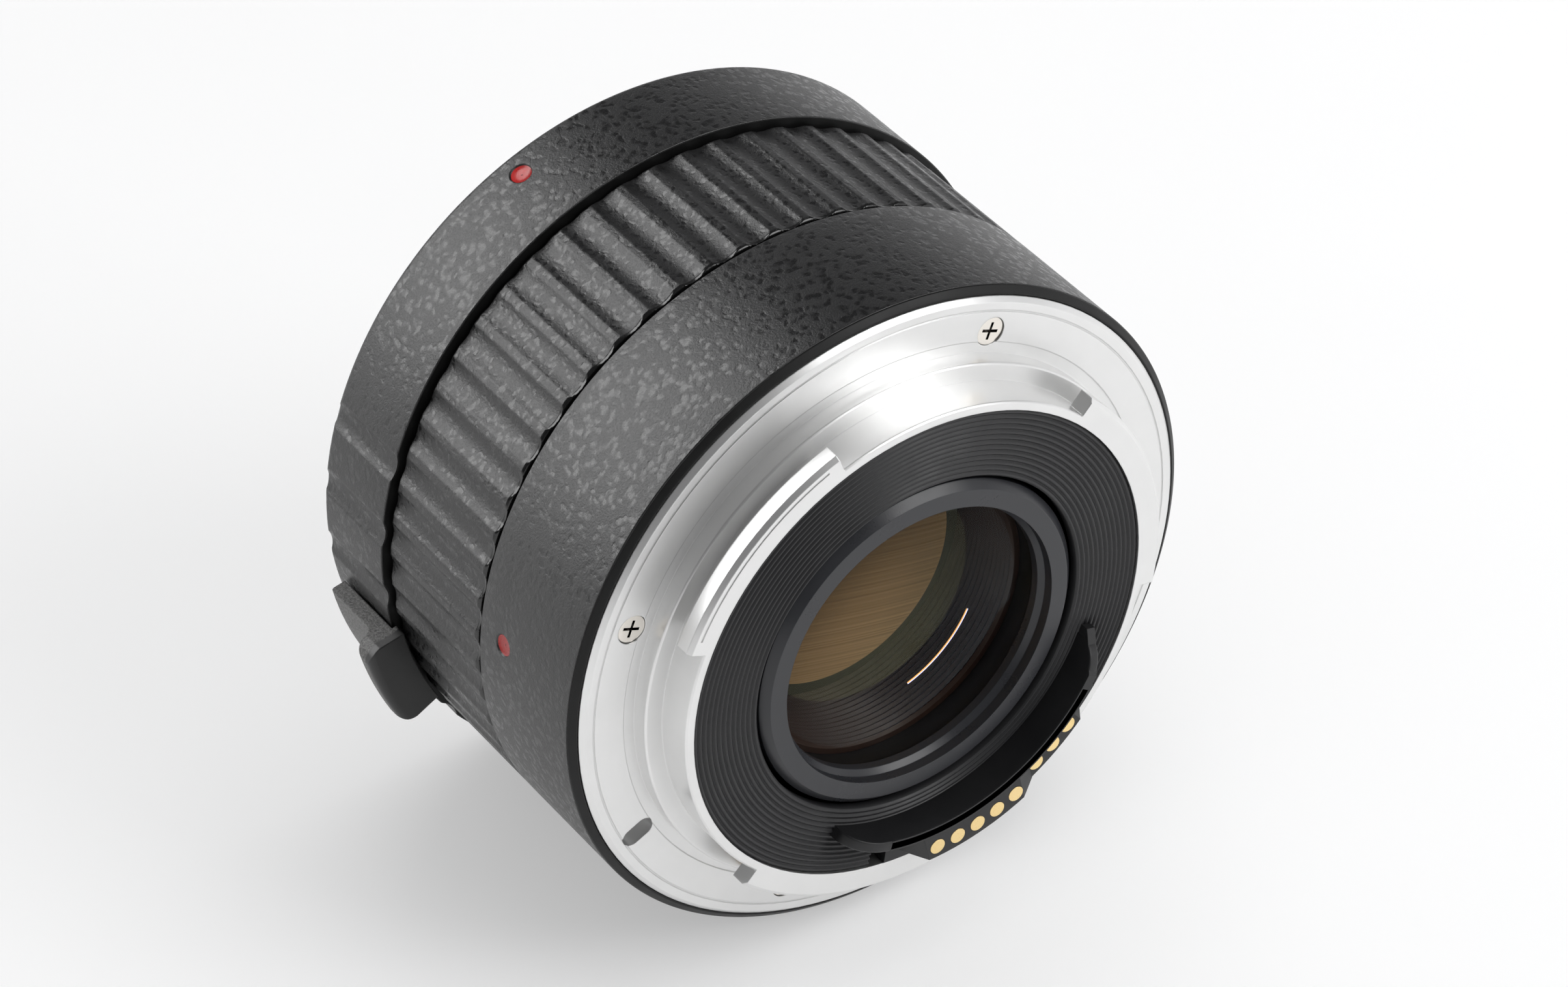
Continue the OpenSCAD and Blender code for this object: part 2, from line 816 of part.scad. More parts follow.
// Flange, spigot and tube of the rear mount, with its three lugs
module rear_bayonet() {
  color("gainsboro")
    lens_frame()
      difference() {
        union() {
          rotate_extrude()
            polygon([
              [bore_r, -flange_t],
              [flange_r, -flange_t],
              [flange_r, -flange_chamfer],
              [flange_r - flange_chamfer, 0],
              [relief_r, 0],
              [relief_r, -relief_d],
              [spigot_r, -relief_d],
              [spigot_r, spigot_h - edge],
              [spigot_r - edge, spigot_h],
              [barrel_r, spigot_h],
              [barrel_r, bayonet_len - edge],
              [barrel_r - edge, bayonet_len],
              [bore_r, bayonet_len]
            ]);
          for (i = [0:2])
            rear_lug(i);
        }
        tube(line_r + line_w / 2, line_r - line_w / 2, -line_d, over);
        arc_tube(
          lug_line_r + line_w / 2, lug_line_r - line_w / 2, bayonet_len - line_d, bayonet_len + over,
          lug_start[0] + lug_line_margin, lug_start[0] + lug_arc[0] - lug_line_margin
        );
        place_rear_mount_screws()
          screw_hole(mount_head_r, mount_shank_r, mount_screw_len);
        lock_slot();
        radial_pin(stop_pin_angle, stop_pin_z, stop_pin_r + fit_gap, bore_r - over, spigot_r + over);
      }
}

// One lug of the rear mount
module rear_lug(i) {
  rotate([0, 0, lug_start[i]])
    rotate_extrude(angle = lug_arc[i])
      polygon([
        [barrel_r - edge * 2, lug_z],
        [spigot_r, lug_z],
        [spigot_r, bayonet_len - lug_chamfer],
        [spigot_r - lug_chamfer, bayonet_len],
        [barrel_r - edge * 2, bayonet_len]
      ]);
}

// Radial slot that the camera's lock pin drops into
module lock_slot() {
  half = lock_slot_w / 2;
  reach = lock_slot_len / 2 - half;
  at_clock(lock_angle, lock_r)
    translate([0, 0, -flange_t - over]) {
      for (side = [-1, 1])
        translate([side * reach, 0, 0])
          cylinder(r = half, h = flange_t + 2 * over);
      translate([-reach, -half, 0])
        cube([2 * reach, lock_slot_w, flange_t + 2 * over]);
    }
}

// Shim under the rear flange
module rear_shim() {
  color("#8d8f92")
    lens_frame()
      difference() {
        tube(chassis_r - edge, ledge_out_r + edge, rear_seat_z, rear_seat_z + shim_t);
        on_screw_circle(screw_circle_r)
          translate([0, 0, rear_seat_z - over])
            cylinder(r = mount_shank_r + fit_gap, h = shim_t + 2 * over);
      }
}

// Screws of the rear mount
module rear_mount_screws() {
  color("silver")
    lens_frame()
      place_rear_mount_screws()
        screw(mount_head_r, mount_shank_r, mount_screw_len);
}

// Stop pin in the groove under the second lug
module bayonet_stop_pin() {
  color("#b08d4a")
    lens_frame()
      radial_pin(stop_pin_angle, stop_pin_z, stop_pin_r, bore_r, stop_pin_out_r);
}

// Ridged black ring inside the rear mount
module rear_baffle() {
  ridge_foot = baffle_top - ridge_h;
  ridges = [
    for (i = [0:baffle_ridges - 1])
      let (r = baffle_out_r - i * ridge_pitch)
      for (step = [[0, 0], [0.2, ridge_h], [0.6, ridge_h], [0.8, 0]])
        [r - step[0] * ridge_pitch, ridge_foot + step[1]]
  ];
  skirt_r = baffle_out_r - baffle_skirt_t;
  section = concat(
    [[baffle_out_r, ledge_z]],
    ridges,
    [
      [baffle_in_r, ridge_foot],
      [baffle_in_r, baffle_top - baffle_t],
      [skirt_r, baffle_top - baffle_t],
      [skirt_r, ledge_z]
    ]
  );
  color("#161617")
    lens_frame()
      difference() {
        rotate_extrude()
          polygon(section);
        rotate([0, 0, contact_angle])
          arc_tube(
            bore_r + over, block_in_r - block_gap, ledge_z - over, baffle_top + over,
            -block_half - 1, block_half + 1
          );
      }
}

// Raised land of the rear contacts between two clock angles, with a ramp at each end.
// The inset keeps its faces a little apart from those of the other land.
module contact_land(a0, a1, top, slope0, slope1, inset) {
  half = contact_r * sin((a1 - a0) / 2);
  drop = top - bayonet_len + land_root;
  depth = 2 * (land_out_r - contact_r) + 4;
  intersection() {
    arc_tube(
      land_out_r - inset, fin_out_r - edge + inset / 2, bayonet_len - land_root - inset, top,
      max(a0 - ramp_reach, low_inset - block_half), min(a1 + ramp_reach, block_half - low_inset)
    );
    rotate([0, 0, (a0 + a1) / 2])
      translate([contact_r - depth / 2, 0, 0])
        rotate([90, 0, 90])
          linear_extrude(height = depth)
            polygon([
              [-half + over / tan(slope0), top + over],
              [half - over / tan(slope1), top + over],
              [half + drop / tan(slope1), top - drop],
              [-half - drop / tan(slope0), top - drop]
            ]);
  }
}

// Black block that holds the rear contacts beside a curved wall
module rear_contact_block() {
  color("#141415")
    lens_frame()
      rotate([0, 0, contact_angle])
        difference() {
          union() {
            arc_tube(baffle_out_r, block_in_r, ledge_z, block_base_z, -block_half, block_half);
            contact_land(-land_half, step_angle, contact_h, tall_slope, step_slope, 0);
            contact_land(step_angle, land_half, low_h, step_slope, low_slope, low_inset);
            difference() {
              arc_tube(fin_out_r, fin_in_r, baffle_top, fin_z, -fin_half, fin_half);
              for (side = [-1, 1])
                end_ramp(side * fin_flat_half, fin_z, fin_slope, side);
            }
          }
          for (i = [0:contact_count - 1])
            at_clock(contact_turn(i), contact_r)
              translate([0, 0, contact_top(i) - pad_depth])
                cylinder(r = pad_r + fit_gap / 2, h = pad_depth + over);
          rotate([0, 0, -contact_angle])
            place_rear_block_screws()
              screw_hole(small_head_r, small_shank_r, small_screw_len + rear_end_len - 2);
        }
}

// Gold pads of the rear contacts
module rear_contact_pads() {
  color("gold")
    lens_frame()
      for (i = [0:contact_count - 1])
        at_clock(contact_angle + contact_turn(i), contact_r)
          translate([0, 0, contact_top(i) - pad_depth])
            cylinder(r = pad_r, h = pad_depth + pad_proud);
}

// Screws that hold the rear contact block
module rear_block_screws() {
  color("silver")
    lens_frame()
      place_rear_block_screws()
        screw(small_head_r, small_shank_r, small_screw_len + rear_end_len - 2);
}

// Female ring of the front mount
module front_bayonet() {
  color("gainsboro")
    lens_frame()
      difference() {
        union() {
          rotate_extrude()
            polygon([
              [throat_r, front_z],
              [front_ring_r - edge, front_z],
              [front_ring_r, front_z + edge],
              [front_ring_r, front_z + flange_t],
              [female_sleeve_r, front_z + flange_t],
              [female_sleeve_r, front_z + female_depth],
              [throat_relief_r, front_z + female_depth],
              [throat_relief_r, front_z + spigot_h],
              [throat_r, front_z + spigot_h]
            ]);
          for (i = [0:2])
            arc_tube(
              throat_relief_r + edge, female_lug_r, front_z + female_lug_d0, front_z + female_lug_d1,
              female_start[i], female_end[i]
            );
        }
        place_front_mount_screws()
          screw_hole(mount_head_r, mount_shank_r, mount_screw_len);
        at_clock(lock_angle, lock_r)
          translate([0, 0, front_z - over])
            cylinder(r = lock_pin_r + slide_gap, h = flange_t + 2 * over);
      }
}

// Shim under the front ring
module front_shim() {
  color("#8d8f92")
    lens_frame()
      difference() {
        tube(chassis_r - edge, sleeve_seat_r, front_seat_z - shim_t, front_seat_z);
        on_screw_circle(front_screw_r)
          translate([0, 0, front_seat_z - shim_t - over])
            cylinder(r = mount_shank_r + fit_gap, h = shim_t + 2 * over);
        at_clock(lock_angle, lock_r)
          translate([0, 0, front_seat_z - shim_t - over])
            cylinder(r = lock_pin_r + move_gap, h = shim_t + 2 * over);
      }
}

// Screws of the front mount
module front_mount_screws() {
  color("silver")
    lens_frame()
      place_front_mount_screws()
        screw(mount_head_r, mount_shank_r, mount_screw_len);
}

// Leaf springs that pull a lens against the front flange
module front_leaf_springs() {
  leaf_z = front_z + female_lug_d1;
  color("#a9abad")
    lens_frame()
      for (i = [0:2])
        arc_tube(
          throat_r - fit_gap, female_lug_r + edge, leaf_z, leaf_z + leaf_t,
          female_start[i] + leaf_margin, female_end[i] - leaf_margin
        );
}

// Black block that guides the sprung pins of the front mount
module front_contact_block() {
  tall_face = pin_tall_tip + pin_proud;
  low_face = pin_low_tip + pin_proud;
  land_foot = front_block_z + land_root;
  color("#1a1a1b")
    lens_frame()
      difference() {
        rotate([0, 0, contact_angle])
          union() {
            arc_tube(front_block_out_r, front_block_in_r, front_block_z, web_z0, -block_half, block_half);
            arc_tube(front_land_out_r, front_land_in_r, tall_face, land_foot, -land_half, land_half);
            arc_tube(
              front_land_out_r - low_inset, front_land_in_r + low_inset, low_face, land_foot + low_inset,
              step_angle, land_half - low_inset
            );
          }
        for (i = [0:contact_count - 1])
          at_clock(contact_angle + contact_turn(i), contact_r) {
            translate([0, 0, pin_low_tip])
              cylinder(r = pin_r + slide_gap, h = web_z0 - pin_low_tip);
            translate([0, 0, pin_collar_z])
              cylinder(r = pin_bore_r, h = web_z0 - pin_collar_z + over);
          }
        place_front_block_screws()
          screw_hole(small_head_r, small_shank_r, small_screw_len);
      }
}

// One sprung pin of the front mount, counted from 1
module front_contact_pin(number) {
  tip = pin_tip(number - 1);
  color("gold")
    lens_frame()
      at_clock(contact_angle + contact_turn(number - 1), contact_r)
        rotate_extrude()
          polygon([
            [0, tip],
            [pin_r - pin_round, tip],
            [pin_r, tip + pin_round],
            [pin_r, pin_collar_z],
            [pin_collar_r, pin_collar_z],
            [pin_collar_r, pin_collar_z + pin_collar_t],
            [0, pin_collar_z + pin_collar_t]
          ]);
}

// Small springs behind the front pins
module contact_pin_springs() {
  color("silver")
    lens_frame()
      for (i = [0:contact_count - 1])
        at_clock(contact_angle + contact_turn(i), contact_r)
          coil(pin_spring_r, pin_wire_r, pin_collar_z + pin_collar_t, web_z0, pin_spring_turns);
}

// Screws that hold the front contact block
module front_block_screws() {
  color("silver")
    lens_frame()
      place_front_block_screws()
        screw(small_head_r, small_shank_r, small_screw_len);
}

// Black light shield on the web, around the front glass
module front_baffle() {
  color("#161617")
    lens_frame()
      difference() {
        tube(cavity_r - fit_gap, cell_seat_r, web_z0 - front_baffle_t, web_z0);
        rotate([0, 0, contact_angle])
          arc_tube(
            cavity_r + over, front_block_in_r - block_gap, web_z0 - front_baffle_t - over, web_z0 + over,
            -block_half - 1, block_half + 1
          );
      }
}

// Thumb lever that slides on the front collar
module release_lever() {
  half = lever_arc / 2;
  outline = concat(
    [[foot_r, bar_z0]],
    corner(bar_r - bar_round, bar_z0 + bar_round, bar_round, -90, 0),
    corner(bar_r + tab_fillet, tab_z0 - tab_fillet, tab_fillet, 180, 90),
    corner(tab_top_r - tab_edge_round, tab_z0 + tab_edge_round, tab_edge_round, -90, 0),
    corner(tab_top_r - tab_edge_round, tab_z1 - tab_edge_round, tab_edge_round, 0, 90),
    [[tab_foot_r, tab_z1], [tab_foot_r, tab_foot_z], [foot_r, tab_foot_z]]
  );
  color("#1f1f20")
    lens_frame()
      difference() {
        union() {
          rotate([0, 0, lever_angle - half])
            rotate_extrude(angle = lever_arc)
              polygon(outline);
          arc_tube(
            foot_r + over, slider_out_r + fit_gap, stem_z0, stem_z1,
            lever_angle - stem_half, lever_angle + stem_half
          );
        }
        for (side = [-1, 1])
          tab_corner(side);
        place_lever_screws()
          screw_hole(lever_head_r, lever_shank_r, lever_screw_len);
      }
}

// Everything outside the rounded corner of the thumb tab on one side
module tab_corner(side) {
  far = 4;
  centre_r = tab_top_r - tab_corner_round;
  turn = asin(tab_corner_round / centre_r);
  at_clock(lever_angle + side * (lever_arc / 2 - turn), centre_r)
    translate([0, 0, tab_z0 - tab_fillet])
      difference() {
        linear_extrude(height = tab_fillet + tab_t + over)
          polygon([[0, 0], [far, 0], [far, side * far], [-far * sin(turn), side * far * cos(turn)]]);
        translate([0, 0, -over])
          cylinder(r = tab_corner_round + tab_corner_ease, h = tab_fillet + tab_t + 3 * over);
      }
}

// Places of the screws that join the lever to the slider, driven from inside
module place_lever_screws() {
  for (z = stem_screw_z)
    at_clock(lever_angle, slider_in_r)
      translate([0, 0, z])
        rotate([0, -90, 0])
          children();
}

// Plate inside the collar that the lever moves
module lock_slider() {
  color("#9a9ca0")
    lens_frame()
      difference() {
        arc_tube(
          slider_out_r, slider_in_r, slider_z0, slider_z1,
          lever_angle - slider_half, lever_angle + slider_half
        );
        place_lever_screws()
          screw_hole(lever_head_r, lever_shank_r, lever_screw_len);
        at_clock(lock_angle, lock_r)
          translate([0, 0, slider_z0 - over])
            cylinder(r = lock_pin_r + fit_gap / 2, h = slider_z1 - slider_z0 + 2 * over);
      }
}

// Pin that locks a lens in the front mount
module lock_pin() {
  tip = front_z - lock_pin_out;
  color("silver")
    lens_frame()
      at_clock(lock_angle, lock_r)
        rotate_extrude()
          polygon([
            [0, tip],
            [lock_pin_r - pin_round, tip],
            [lock_pin_r, tip + pin_round],
            [lock_pin_r, slider_z1],
            [0, slider_z1]
          ]);
}

// Return spring of the slider
module release_spring() {
  color("silver")
    lens_frame()
      at_clock(spring_angle, lock_r)
        coil(spring_r, spring_wire_r, slider_z1, spring_bore_z, spring_turns);
}

// Screws that join the lever to the slider
module lever_screws() {
  color("silver")
    lens_frame()
      place_lever_screws()
        screw(lever_head_r, lever_shank_r, lever_screw_len);
}

// Tube that holds the glass, with a flange behind the web
module lens_cell() {
  color("#1d1d1e")
    lens_frame()
      difference() {
        rotate_extrude()
          polygon([
            [front_bore_r, cell_z0],
            [cell_r, cell_z0],
            [cell_r, web_z1],
            [cell_flange_r, web_z1],
            [cell_flange_r, web_z1 + cell_flange_t],
            [cell_r, web_z1 + cell_flange_t],
            [cell_r, cell_z1],
            [rear_bore_r, cell_z1],
            [rear_bore_r, spacer_z0],
            [core_lip_r, spacer_z0],
            [core_lip_r, core_end_z],
            [core_bore_r, core_end_z],
            [core_bore_r, front_shoulder_z],
            [front_bore_r, front_shoulder_z]
          ]);
        place_cell_screws()
          screw_hole(cell_head_r, cell_shank_r, cell_screw_len);
      }
}

// Grey ring that holds the rear glass
module rear_retaining_ring() {
  skirt_r = rear_bore_r - fit_gap;
  color("#77797b")
    lens_frame()
      rotate_extrude()
        polygon([
          [ring_lip_r, ring_foot_z],
          [skirt_r, ring_foot_z],
          [skirt_r, cell_z1],
          [cell_r, cell_z1],
          [cell_r, ring_face_z - ring_bevel],
          [cell_r - ring_bevel, ring_face_z],
          [ring_in_r, ring_face_z],
          [ring_in_r, ring_face_z - 1],
          [ring_lip_r, ring_face_z - 1.5]
        ]);
}

// Ring that holds the front glass
module front_retaining_ring() {
  skirt_r = front_bore_r - fit_gap;
  color("#222223")
    lens_frame()
      rotate_extrude()
        polygon([
          [front_ring_in_r + front_ring_t, cell_z0 - front_ring_t],
          [front_ring_out_r - edge, cell_z0 - front_ring_t],
          [front_ring_out_r, cell_z0 - front_ring_t + edge],
          [front_ring_out_r, cell_z0],
          [skirt_r, cell_z0],
          [skirt_r, front_ring_foot_z],
          [front_ring_in_r, front_ring_foot_z],
          [front_ring_in_r, cell_z0]
        ]);
}

// Ring that holds the cemented pairs from the front
module core_retaining_ring() {
  color("#222223")
    lens_frame()
      tube(core_bore_r - fit_gap, core_ring_in_r, core_ring_z0, seat_of(1, -1, core_ring_in_r));
}

// Tube between the two cemented pairs
module mid_spacer() {
  color("#222223")
    lens_frame()
      tube(core_bore_r - fit_gap, core_lip_r, seat_of(2, 1, core_lip_r), seat_of(3, -1, core_lip_r));
}

// Ridged tube in front of the rear glass
module rear_spacer() {
  pitch = (spacer_z1 - spacer_z0) / spacer_ridges;
  ridges = [
    for (i = [0:spacer_ridges - 1])
      for (step = [[0, 0], [0.5, spacer_ridge]])
        [spacer_in_r + spacer_ridge - step[1], spacer_z1 - (i + step[0]) * pitch]
  ];
  outer_r = rear_bore_r - fit_gap;
  color("#1c1a19")
    lens_frame()
      rotate_extrude()
        polygon(concat(ridges, [[spacer_in_r + spacer_ridge, spacer_z0], [outer_r, spacer_z0], [outer_r, spacer_z1]]));
}

// Screws that hold the lens cell on the web
module cell_screws() {
  color("silver")
    lens_frame()
      place_cell_screws()
        screw(cell_head_r, cell_shank_r, cell_screw_len);
}

// Circuit board behind the web
module circuit_board() {
  color("darkgreen")
    lens_frame()
      difference() {
        arc_tube(
          board_out_r, board_in_r, board_z, board_z + board_t,
          contact_angle - board_half, contact_angle + board_half
        );
        place_board_screws()
          screw_hole(small_head_r, small_shank_r, board_screw_len);
      }
}

// Chips on the circuit board
module board_chips() {
  color("#202022")
    lens_frame()
      for (turn = chip_turns)
        at_clock(contact_angle + turn, chip_r)
          translate([-chip_size[0] / 2, -chip_size[1] / 2, board_z + board_t])
            cube(chip_size);
}

// Screws that hold the circuit board
module board_screws() {
  color("silver")
    lens_frame()
      place_board_screws()
        screw(small_head_r, small_shank_r, board_screw_len);
}

// Flat cable from the front contact block to the board
module front_flex() {
  color("#a8662a")
    lens_frame()
      arc_tube(
        front_flex_r + flex_t, front_flex_r, web_z0, board_z,
        contact_angle - flex_half, contact_angle + flex_half
      );
}

// Flat cable from the board to the rear contact block
module rear_flex() {
  color("#a8662a")
    lens_frame()
      arc_tube(
        rear_flex_r + flex_t, rear_flex_r, board_z + board_t, ledge_z,
        contact_angle - flex_half, contact_angle + flex_half
      );
}

rear_barrel();
grip_ring();
front_collar();
front_frame();
chassis();
rear_index_dot();
front_index_dot();
rear_bayonet();
rear_shim();
rear_mount_screws();
bayonet_stop_pin();
rear_baffle();
rear_contact_block();
rear_contact_pads();
rear_block_screws();
front_bayonet();
front_shim();
front_mount_screws();
front_leaf_springs();
front_contact_block();
contact_pin_springs();
front_block_screws();
front_baffle();
for (i = [1:contact_count])
  front_contact_pin(i);
release_lever();
lock_slider();
lock_pin();
release_spring();
lever_screws();
lens_cell();
for (i = [1:len(lens_z)])
  glass(i - 1);
rear_retaining_ring();
front_retaining_ring();
core_retaining_ring();
mid_spacer();
rear_spacer();
cell_screws();
circuit_board();
board_chips();
board_screws();
front_flex();
rear_flex();
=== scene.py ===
import json
import math

import bmesh
import bpy
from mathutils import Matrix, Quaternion, Vector


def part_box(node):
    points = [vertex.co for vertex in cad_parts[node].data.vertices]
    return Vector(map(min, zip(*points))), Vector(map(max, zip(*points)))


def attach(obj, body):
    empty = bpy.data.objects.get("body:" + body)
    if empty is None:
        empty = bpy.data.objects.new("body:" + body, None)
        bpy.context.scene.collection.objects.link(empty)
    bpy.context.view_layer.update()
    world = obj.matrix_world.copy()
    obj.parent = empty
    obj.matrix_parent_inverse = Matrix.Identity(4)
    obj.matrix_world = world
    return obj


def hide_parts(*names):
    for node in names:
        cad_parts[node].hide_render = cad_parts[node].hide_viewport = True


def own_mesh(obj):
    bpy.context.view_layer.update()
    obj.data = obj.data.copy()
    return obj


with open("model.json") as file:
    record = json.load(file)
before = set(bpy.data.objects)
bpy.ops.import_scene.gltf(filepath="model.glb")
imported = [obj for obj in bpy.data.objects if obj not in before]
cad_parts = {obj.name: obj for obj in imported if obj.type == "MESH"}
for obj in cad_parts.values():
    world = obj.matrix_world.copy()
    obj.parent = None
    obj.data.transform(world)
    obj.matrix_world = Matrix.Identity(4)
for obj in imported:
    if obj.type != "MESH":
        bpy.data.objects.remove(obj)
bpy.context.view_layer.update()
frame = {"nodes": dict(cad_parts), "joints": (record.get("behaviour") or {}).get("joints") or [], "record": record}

# Places are given in the lens frame: a radius from the optical axis, a clock angle in degrees seen from
# the camera side, and a station along the axis that grows towards the camera. Lengths are in metres.
MM = 0.001

# Measures of the solids that the pieces here are fitted to


def span(node):
    """Smallest and largest radius of a node, then its lowest and highest station."""
    points = [v.co for v in frame["nodes"][node].data.vertices]
    radii = [math.hypot(p.x, p.z) for p in points]
    stations = [-p.y for p in points]
    return min(radii), max(radii), min(stations), max(stations)


def clock_of(node):
    """Clock angle of the middle of a node that covers less than half a turn."""
    low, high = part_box(node)
    return math.degrees(math.atan2(low.z + high.z, low.x + high.x))


def station_of(node):
    """Station of the middle of a node."""
    low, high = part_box(node)
    return -(low.y + high.y) / 2


def outer_dip(node, skip):
    """How far the outside of a fluted sleeve goes in, measured on points beyond its bore by a margin."""
    radii = [math.hypot(v.co.x, v.co.z) for v in frame["nodes"][node].data.vertices]
    return max(radii) - min(r for r in radii if r > min(radii) + skip)


BARREL_IN, BODY_R, BARREL_Z0, BARREL_Z1 = span("rear_barrel")
GRIP_IN, GRIP_R, GRIP_Z0, GRIP_Z1 = span("grip_ring")
COLLAR_IN, COLLAR_R, COLLAR_Z0, COLLAR_Z1 = span("front_collar")
FLANGE_R = span("rear_bayonet")[1]
LENS_SEAT_R = span("front_bayonet")[1]
TOP_CLOCK = clock_of("front_index_dot")
REAR_MARK_CLOCK = clock_of("rear_index_dot")
LEVER_CLOCK = clock_of("release_lever")
TAB_Z = span("release_lever")[3]
CONTACT_CLOCK = clock_of("rear_contact_block")
WALL_TOP = span("rear_contact_block")[3]
BAFFLE_TOP = span("rear_baffle")[3]
MARK_R = (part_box("rear_index_dot")[1].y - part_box("rear_index_dot")[0].y) / 2

# Sizes that only the looks need, with angles in degrees
SAME_PLACE = 1e-7
ROW_CLEAR = 1e-6
HAIRLINE = 0.01 * MM
SHARP_ANGLE = 35
RING_STEPS = 360
ARC_STEPS = 12
CORNER_STEPS = 5

# Grip
GRIP_FLUTES = 60
FLUTE_PITCH = 360 / GRIP_FLUTES
FLUTE_HALF = 0.39 * FLUTE_PITCH
FLUTE_SKIP = 0.5 * MM
FLUTE_DEPTH = outer_dip("grip_ring", FLUTE_SKIP)
FLUTE_STEPS = 18
LAND_STEPS = 5
FLUTE_EDGE = 0.045
GRIP_END_ROUND = 0.4 * MM

# Rear barrel and front collar
FIT_GAP = 0.05 * MM
EDGE_ROUND = 0.1 * MM
FLANGE_T = 2 * MM
RIM_BEVEL = 0.6 * MM
RIM_DEPTH = 0.3 * MM
RIM_ROUND = 0.08 * MM
RIM_LIP = 0.04 * MM
RIM_STEP = 0.12 * MM
RIM_TOP_IN = 0.14 * MM
COLLAR_CHAMFER = 0.7 * MM
COLLAR_FACE_ROUND = 0.2 * MM
COLLAR_SIDE_ROUND = 0.6 * MM
# Thin black sheet on the collar's rear face, painted shade for the groove beside the grip
COLLAR_SHADE_IN = 0.12 * MM
COLLAR_SHADE_T = 0.03 * MM
COLLAR_FLUTES = 3
COLLAR_FIRST_FLUTE = 2.5
COLLAR_FLUTE_STEP = 2
COLLAR_FINE_HALF = 45
COLLAR_FINE_STEP = 0.25
STEM_SLOT_HALF = 5.2
STEM_SLOT = (COLLAR_Z0 + 2.6 * MM, COLLAR_Z0 + 8.4 * MM)

# Red marks
MARK_RIM = 0.14 * MM
MARK_DEPTH = 0.3 * MM
MARK_ROWS = 14
MARK_FINE_HALF = 2.6
MARK_FINE_STEP = 0.12
ENAMEL_ROWS = 10
ENAMEL_AROUND = 40
ENAMEL_DROP = 0.14 * MM
ENAMEL_CREEP = 4

# Contact wall, baffle and springs
WALL_IN = 19.18 * MM
WALL_OUT = 20.27 * MM
WALL_HALF = 48.45
WALL_FLAT_HALF = 37
WALL_END_Z = 6 * MM
WALL_STEPS = 96
WALL_ROUND = 0.18 * MM
WALL_ROUND_STEPS = 4
WALL_SINK = 0.3 * MM
BAFFLE_RIDGES = 13
RIDGE_H = 0.2 * MM
RIDGE_STEPS = 10
RIDGE_CURVE = 0.7
RIDGE_SHARP_ANGLE = 60
BAFFLE_STEPS = 300
BAFFLE_T = 1.1 * MM
BAFFLE_GAP_HALF = 33
BAFFLE_GAP_IN = WALL_IN + 0.25 * MM
SPRING_REACH = MM

# Painted reflections and a painted glint in the rear glass
GLASS_STEPS = 180
PAINTED_GLOW_CLOCK = 305.6
# Painted amber reflection on the core glass, and its painted lines of the ridged bore
CORE_REFLECTION_SPAN = (-1 * MM, 12 * MM)
CORE_REFLECTION_DARK = (0.07, 0.032, 0.011)
CORE_REFLECTION_LIGHT = (1.0, 0.67, 0.35)
RIDGE_REFLECTION_CLOCK = 255
RIDGE_REFLECTION_SIZE = 0.28 * MM
CORE_R = 12.2 * MM
CORE_Z = -7.6 * MM
CORE_BULGE = 0.7 * MM
CORE_T = 0.9 * MM
CORE_STEPS = 16
# Painted greenish reflection on a see-through sheet inside the glass
VEIL_R = 11.4 * MM
VEIL_Z = -3.5 * MM
VEIL_T = 0.05 * MM
VEIL_REFLECTION_SPAN = (-6 * MM, 11 * MM)
VEIL_REFLECTION_COLOUR = (0.30, 0.31, 0.20)
VEIL_REFLECTION_SHARE = 0.16
VEIL_SHADE = 0.2
VEIL_DIM = 0.8
# Painted glint: a thin arc that glows, coloured across its width
GLINT_R = 11.2 * MM
GLINT_HALF = 0.09 * MM
GLINT_Z = -1.2 * MM
GLINT_CLOCKS = (288, 334)
GLINT_INNER = (0.9, 0.45, 0.12, 1)
GLINT_MIDDLE = (1.0, 0.98, 0.92, 1)
GLINT_OUTER = (0.15, 0.25, 0.9, 1)

# Finishes: sockets of the colour mixer, usual reach of a noise and of a gritty one, and shared colours
MIX_FIRST = 6
MIX_SECOND = 7
MIX_COLOUR = 2
NOISE_RANGE = (0.3, 0.7)
GRIT_RANGE = (0.35, 0.65)
BEVEL_SAMPLES = 6
METAL_GRAIN = 0.3 * MM
MOULD_GRAIN = 0.14 * MM
PAINT_DARK = (0.005, 0.005, 0.0053)
PAINT_LIGHT = (0.008, 0.008, 0.0083)
PAINT_BARE = (0.005, 0.005, 0.005)
PAINT_BARE_EDGE = (0.36 * MM, 0.24 * MM)
PAINT_SWAY = 1.6
PAINT_SWAY_SIZE = 1.5
PAINT_ISLANDS = (0.52, 0.22)
CHROME_DARK = (0.80, 0.80, 0.795)
CHROME_LIGHT = (0.88, 0.88, 0.875)
# Screw colours: painted shade for the recess and under the head, and the bare metal
SCREW_PAINTED_SHADE = (0.02, 0.018, 0.014)
SCREW_UNSHADED = (0.84, 0.80, 0.74)
PAINTED_SHADE_REACH = 0.5 * MM
PAINTED_SHADE_RANGE = (0.35, 0.8)
PAINTED_SHADE_SAMPLES = 8
STEEL_DARK = (0.5, 0.5, 0.5)
STEEL_LIGHT = (0.6, 0.6, 0.6)
PLASTIC_DARK = (0.008, 0.008, 0.009)
PLASTIC_LIGHT = (0.013, 0.013, 0.014)
LEVER_GREY = ((0.025, 0.0245, 0.024), (0.22, 0.217, 0.21))
LEVER_BLACK = ((0.008, 0.008, 0.008), (0.013, 0.013, 0.013))
TAB_FACE = 0.75 * MM
TAB_FADE = 0.25 * MM
TAB_RAGGED = 0.4 * MM
CLEAR_TINT = (0.985, 0.97, 0.95, 1)
COAT_IOR = 1.3
COAT_SHADE = 0.85
# Painted shade: near-black colours of the opaque inner glass, for the dark tube seen through it
DEEP_SHADE_DARK = (0.008, 0.010, 0.012)
DEEP_SHADE_LIGHT = (0.016, 0.014, 0.020)
DEEP_TINT = (0.55, 0.9, 0.7, 1)

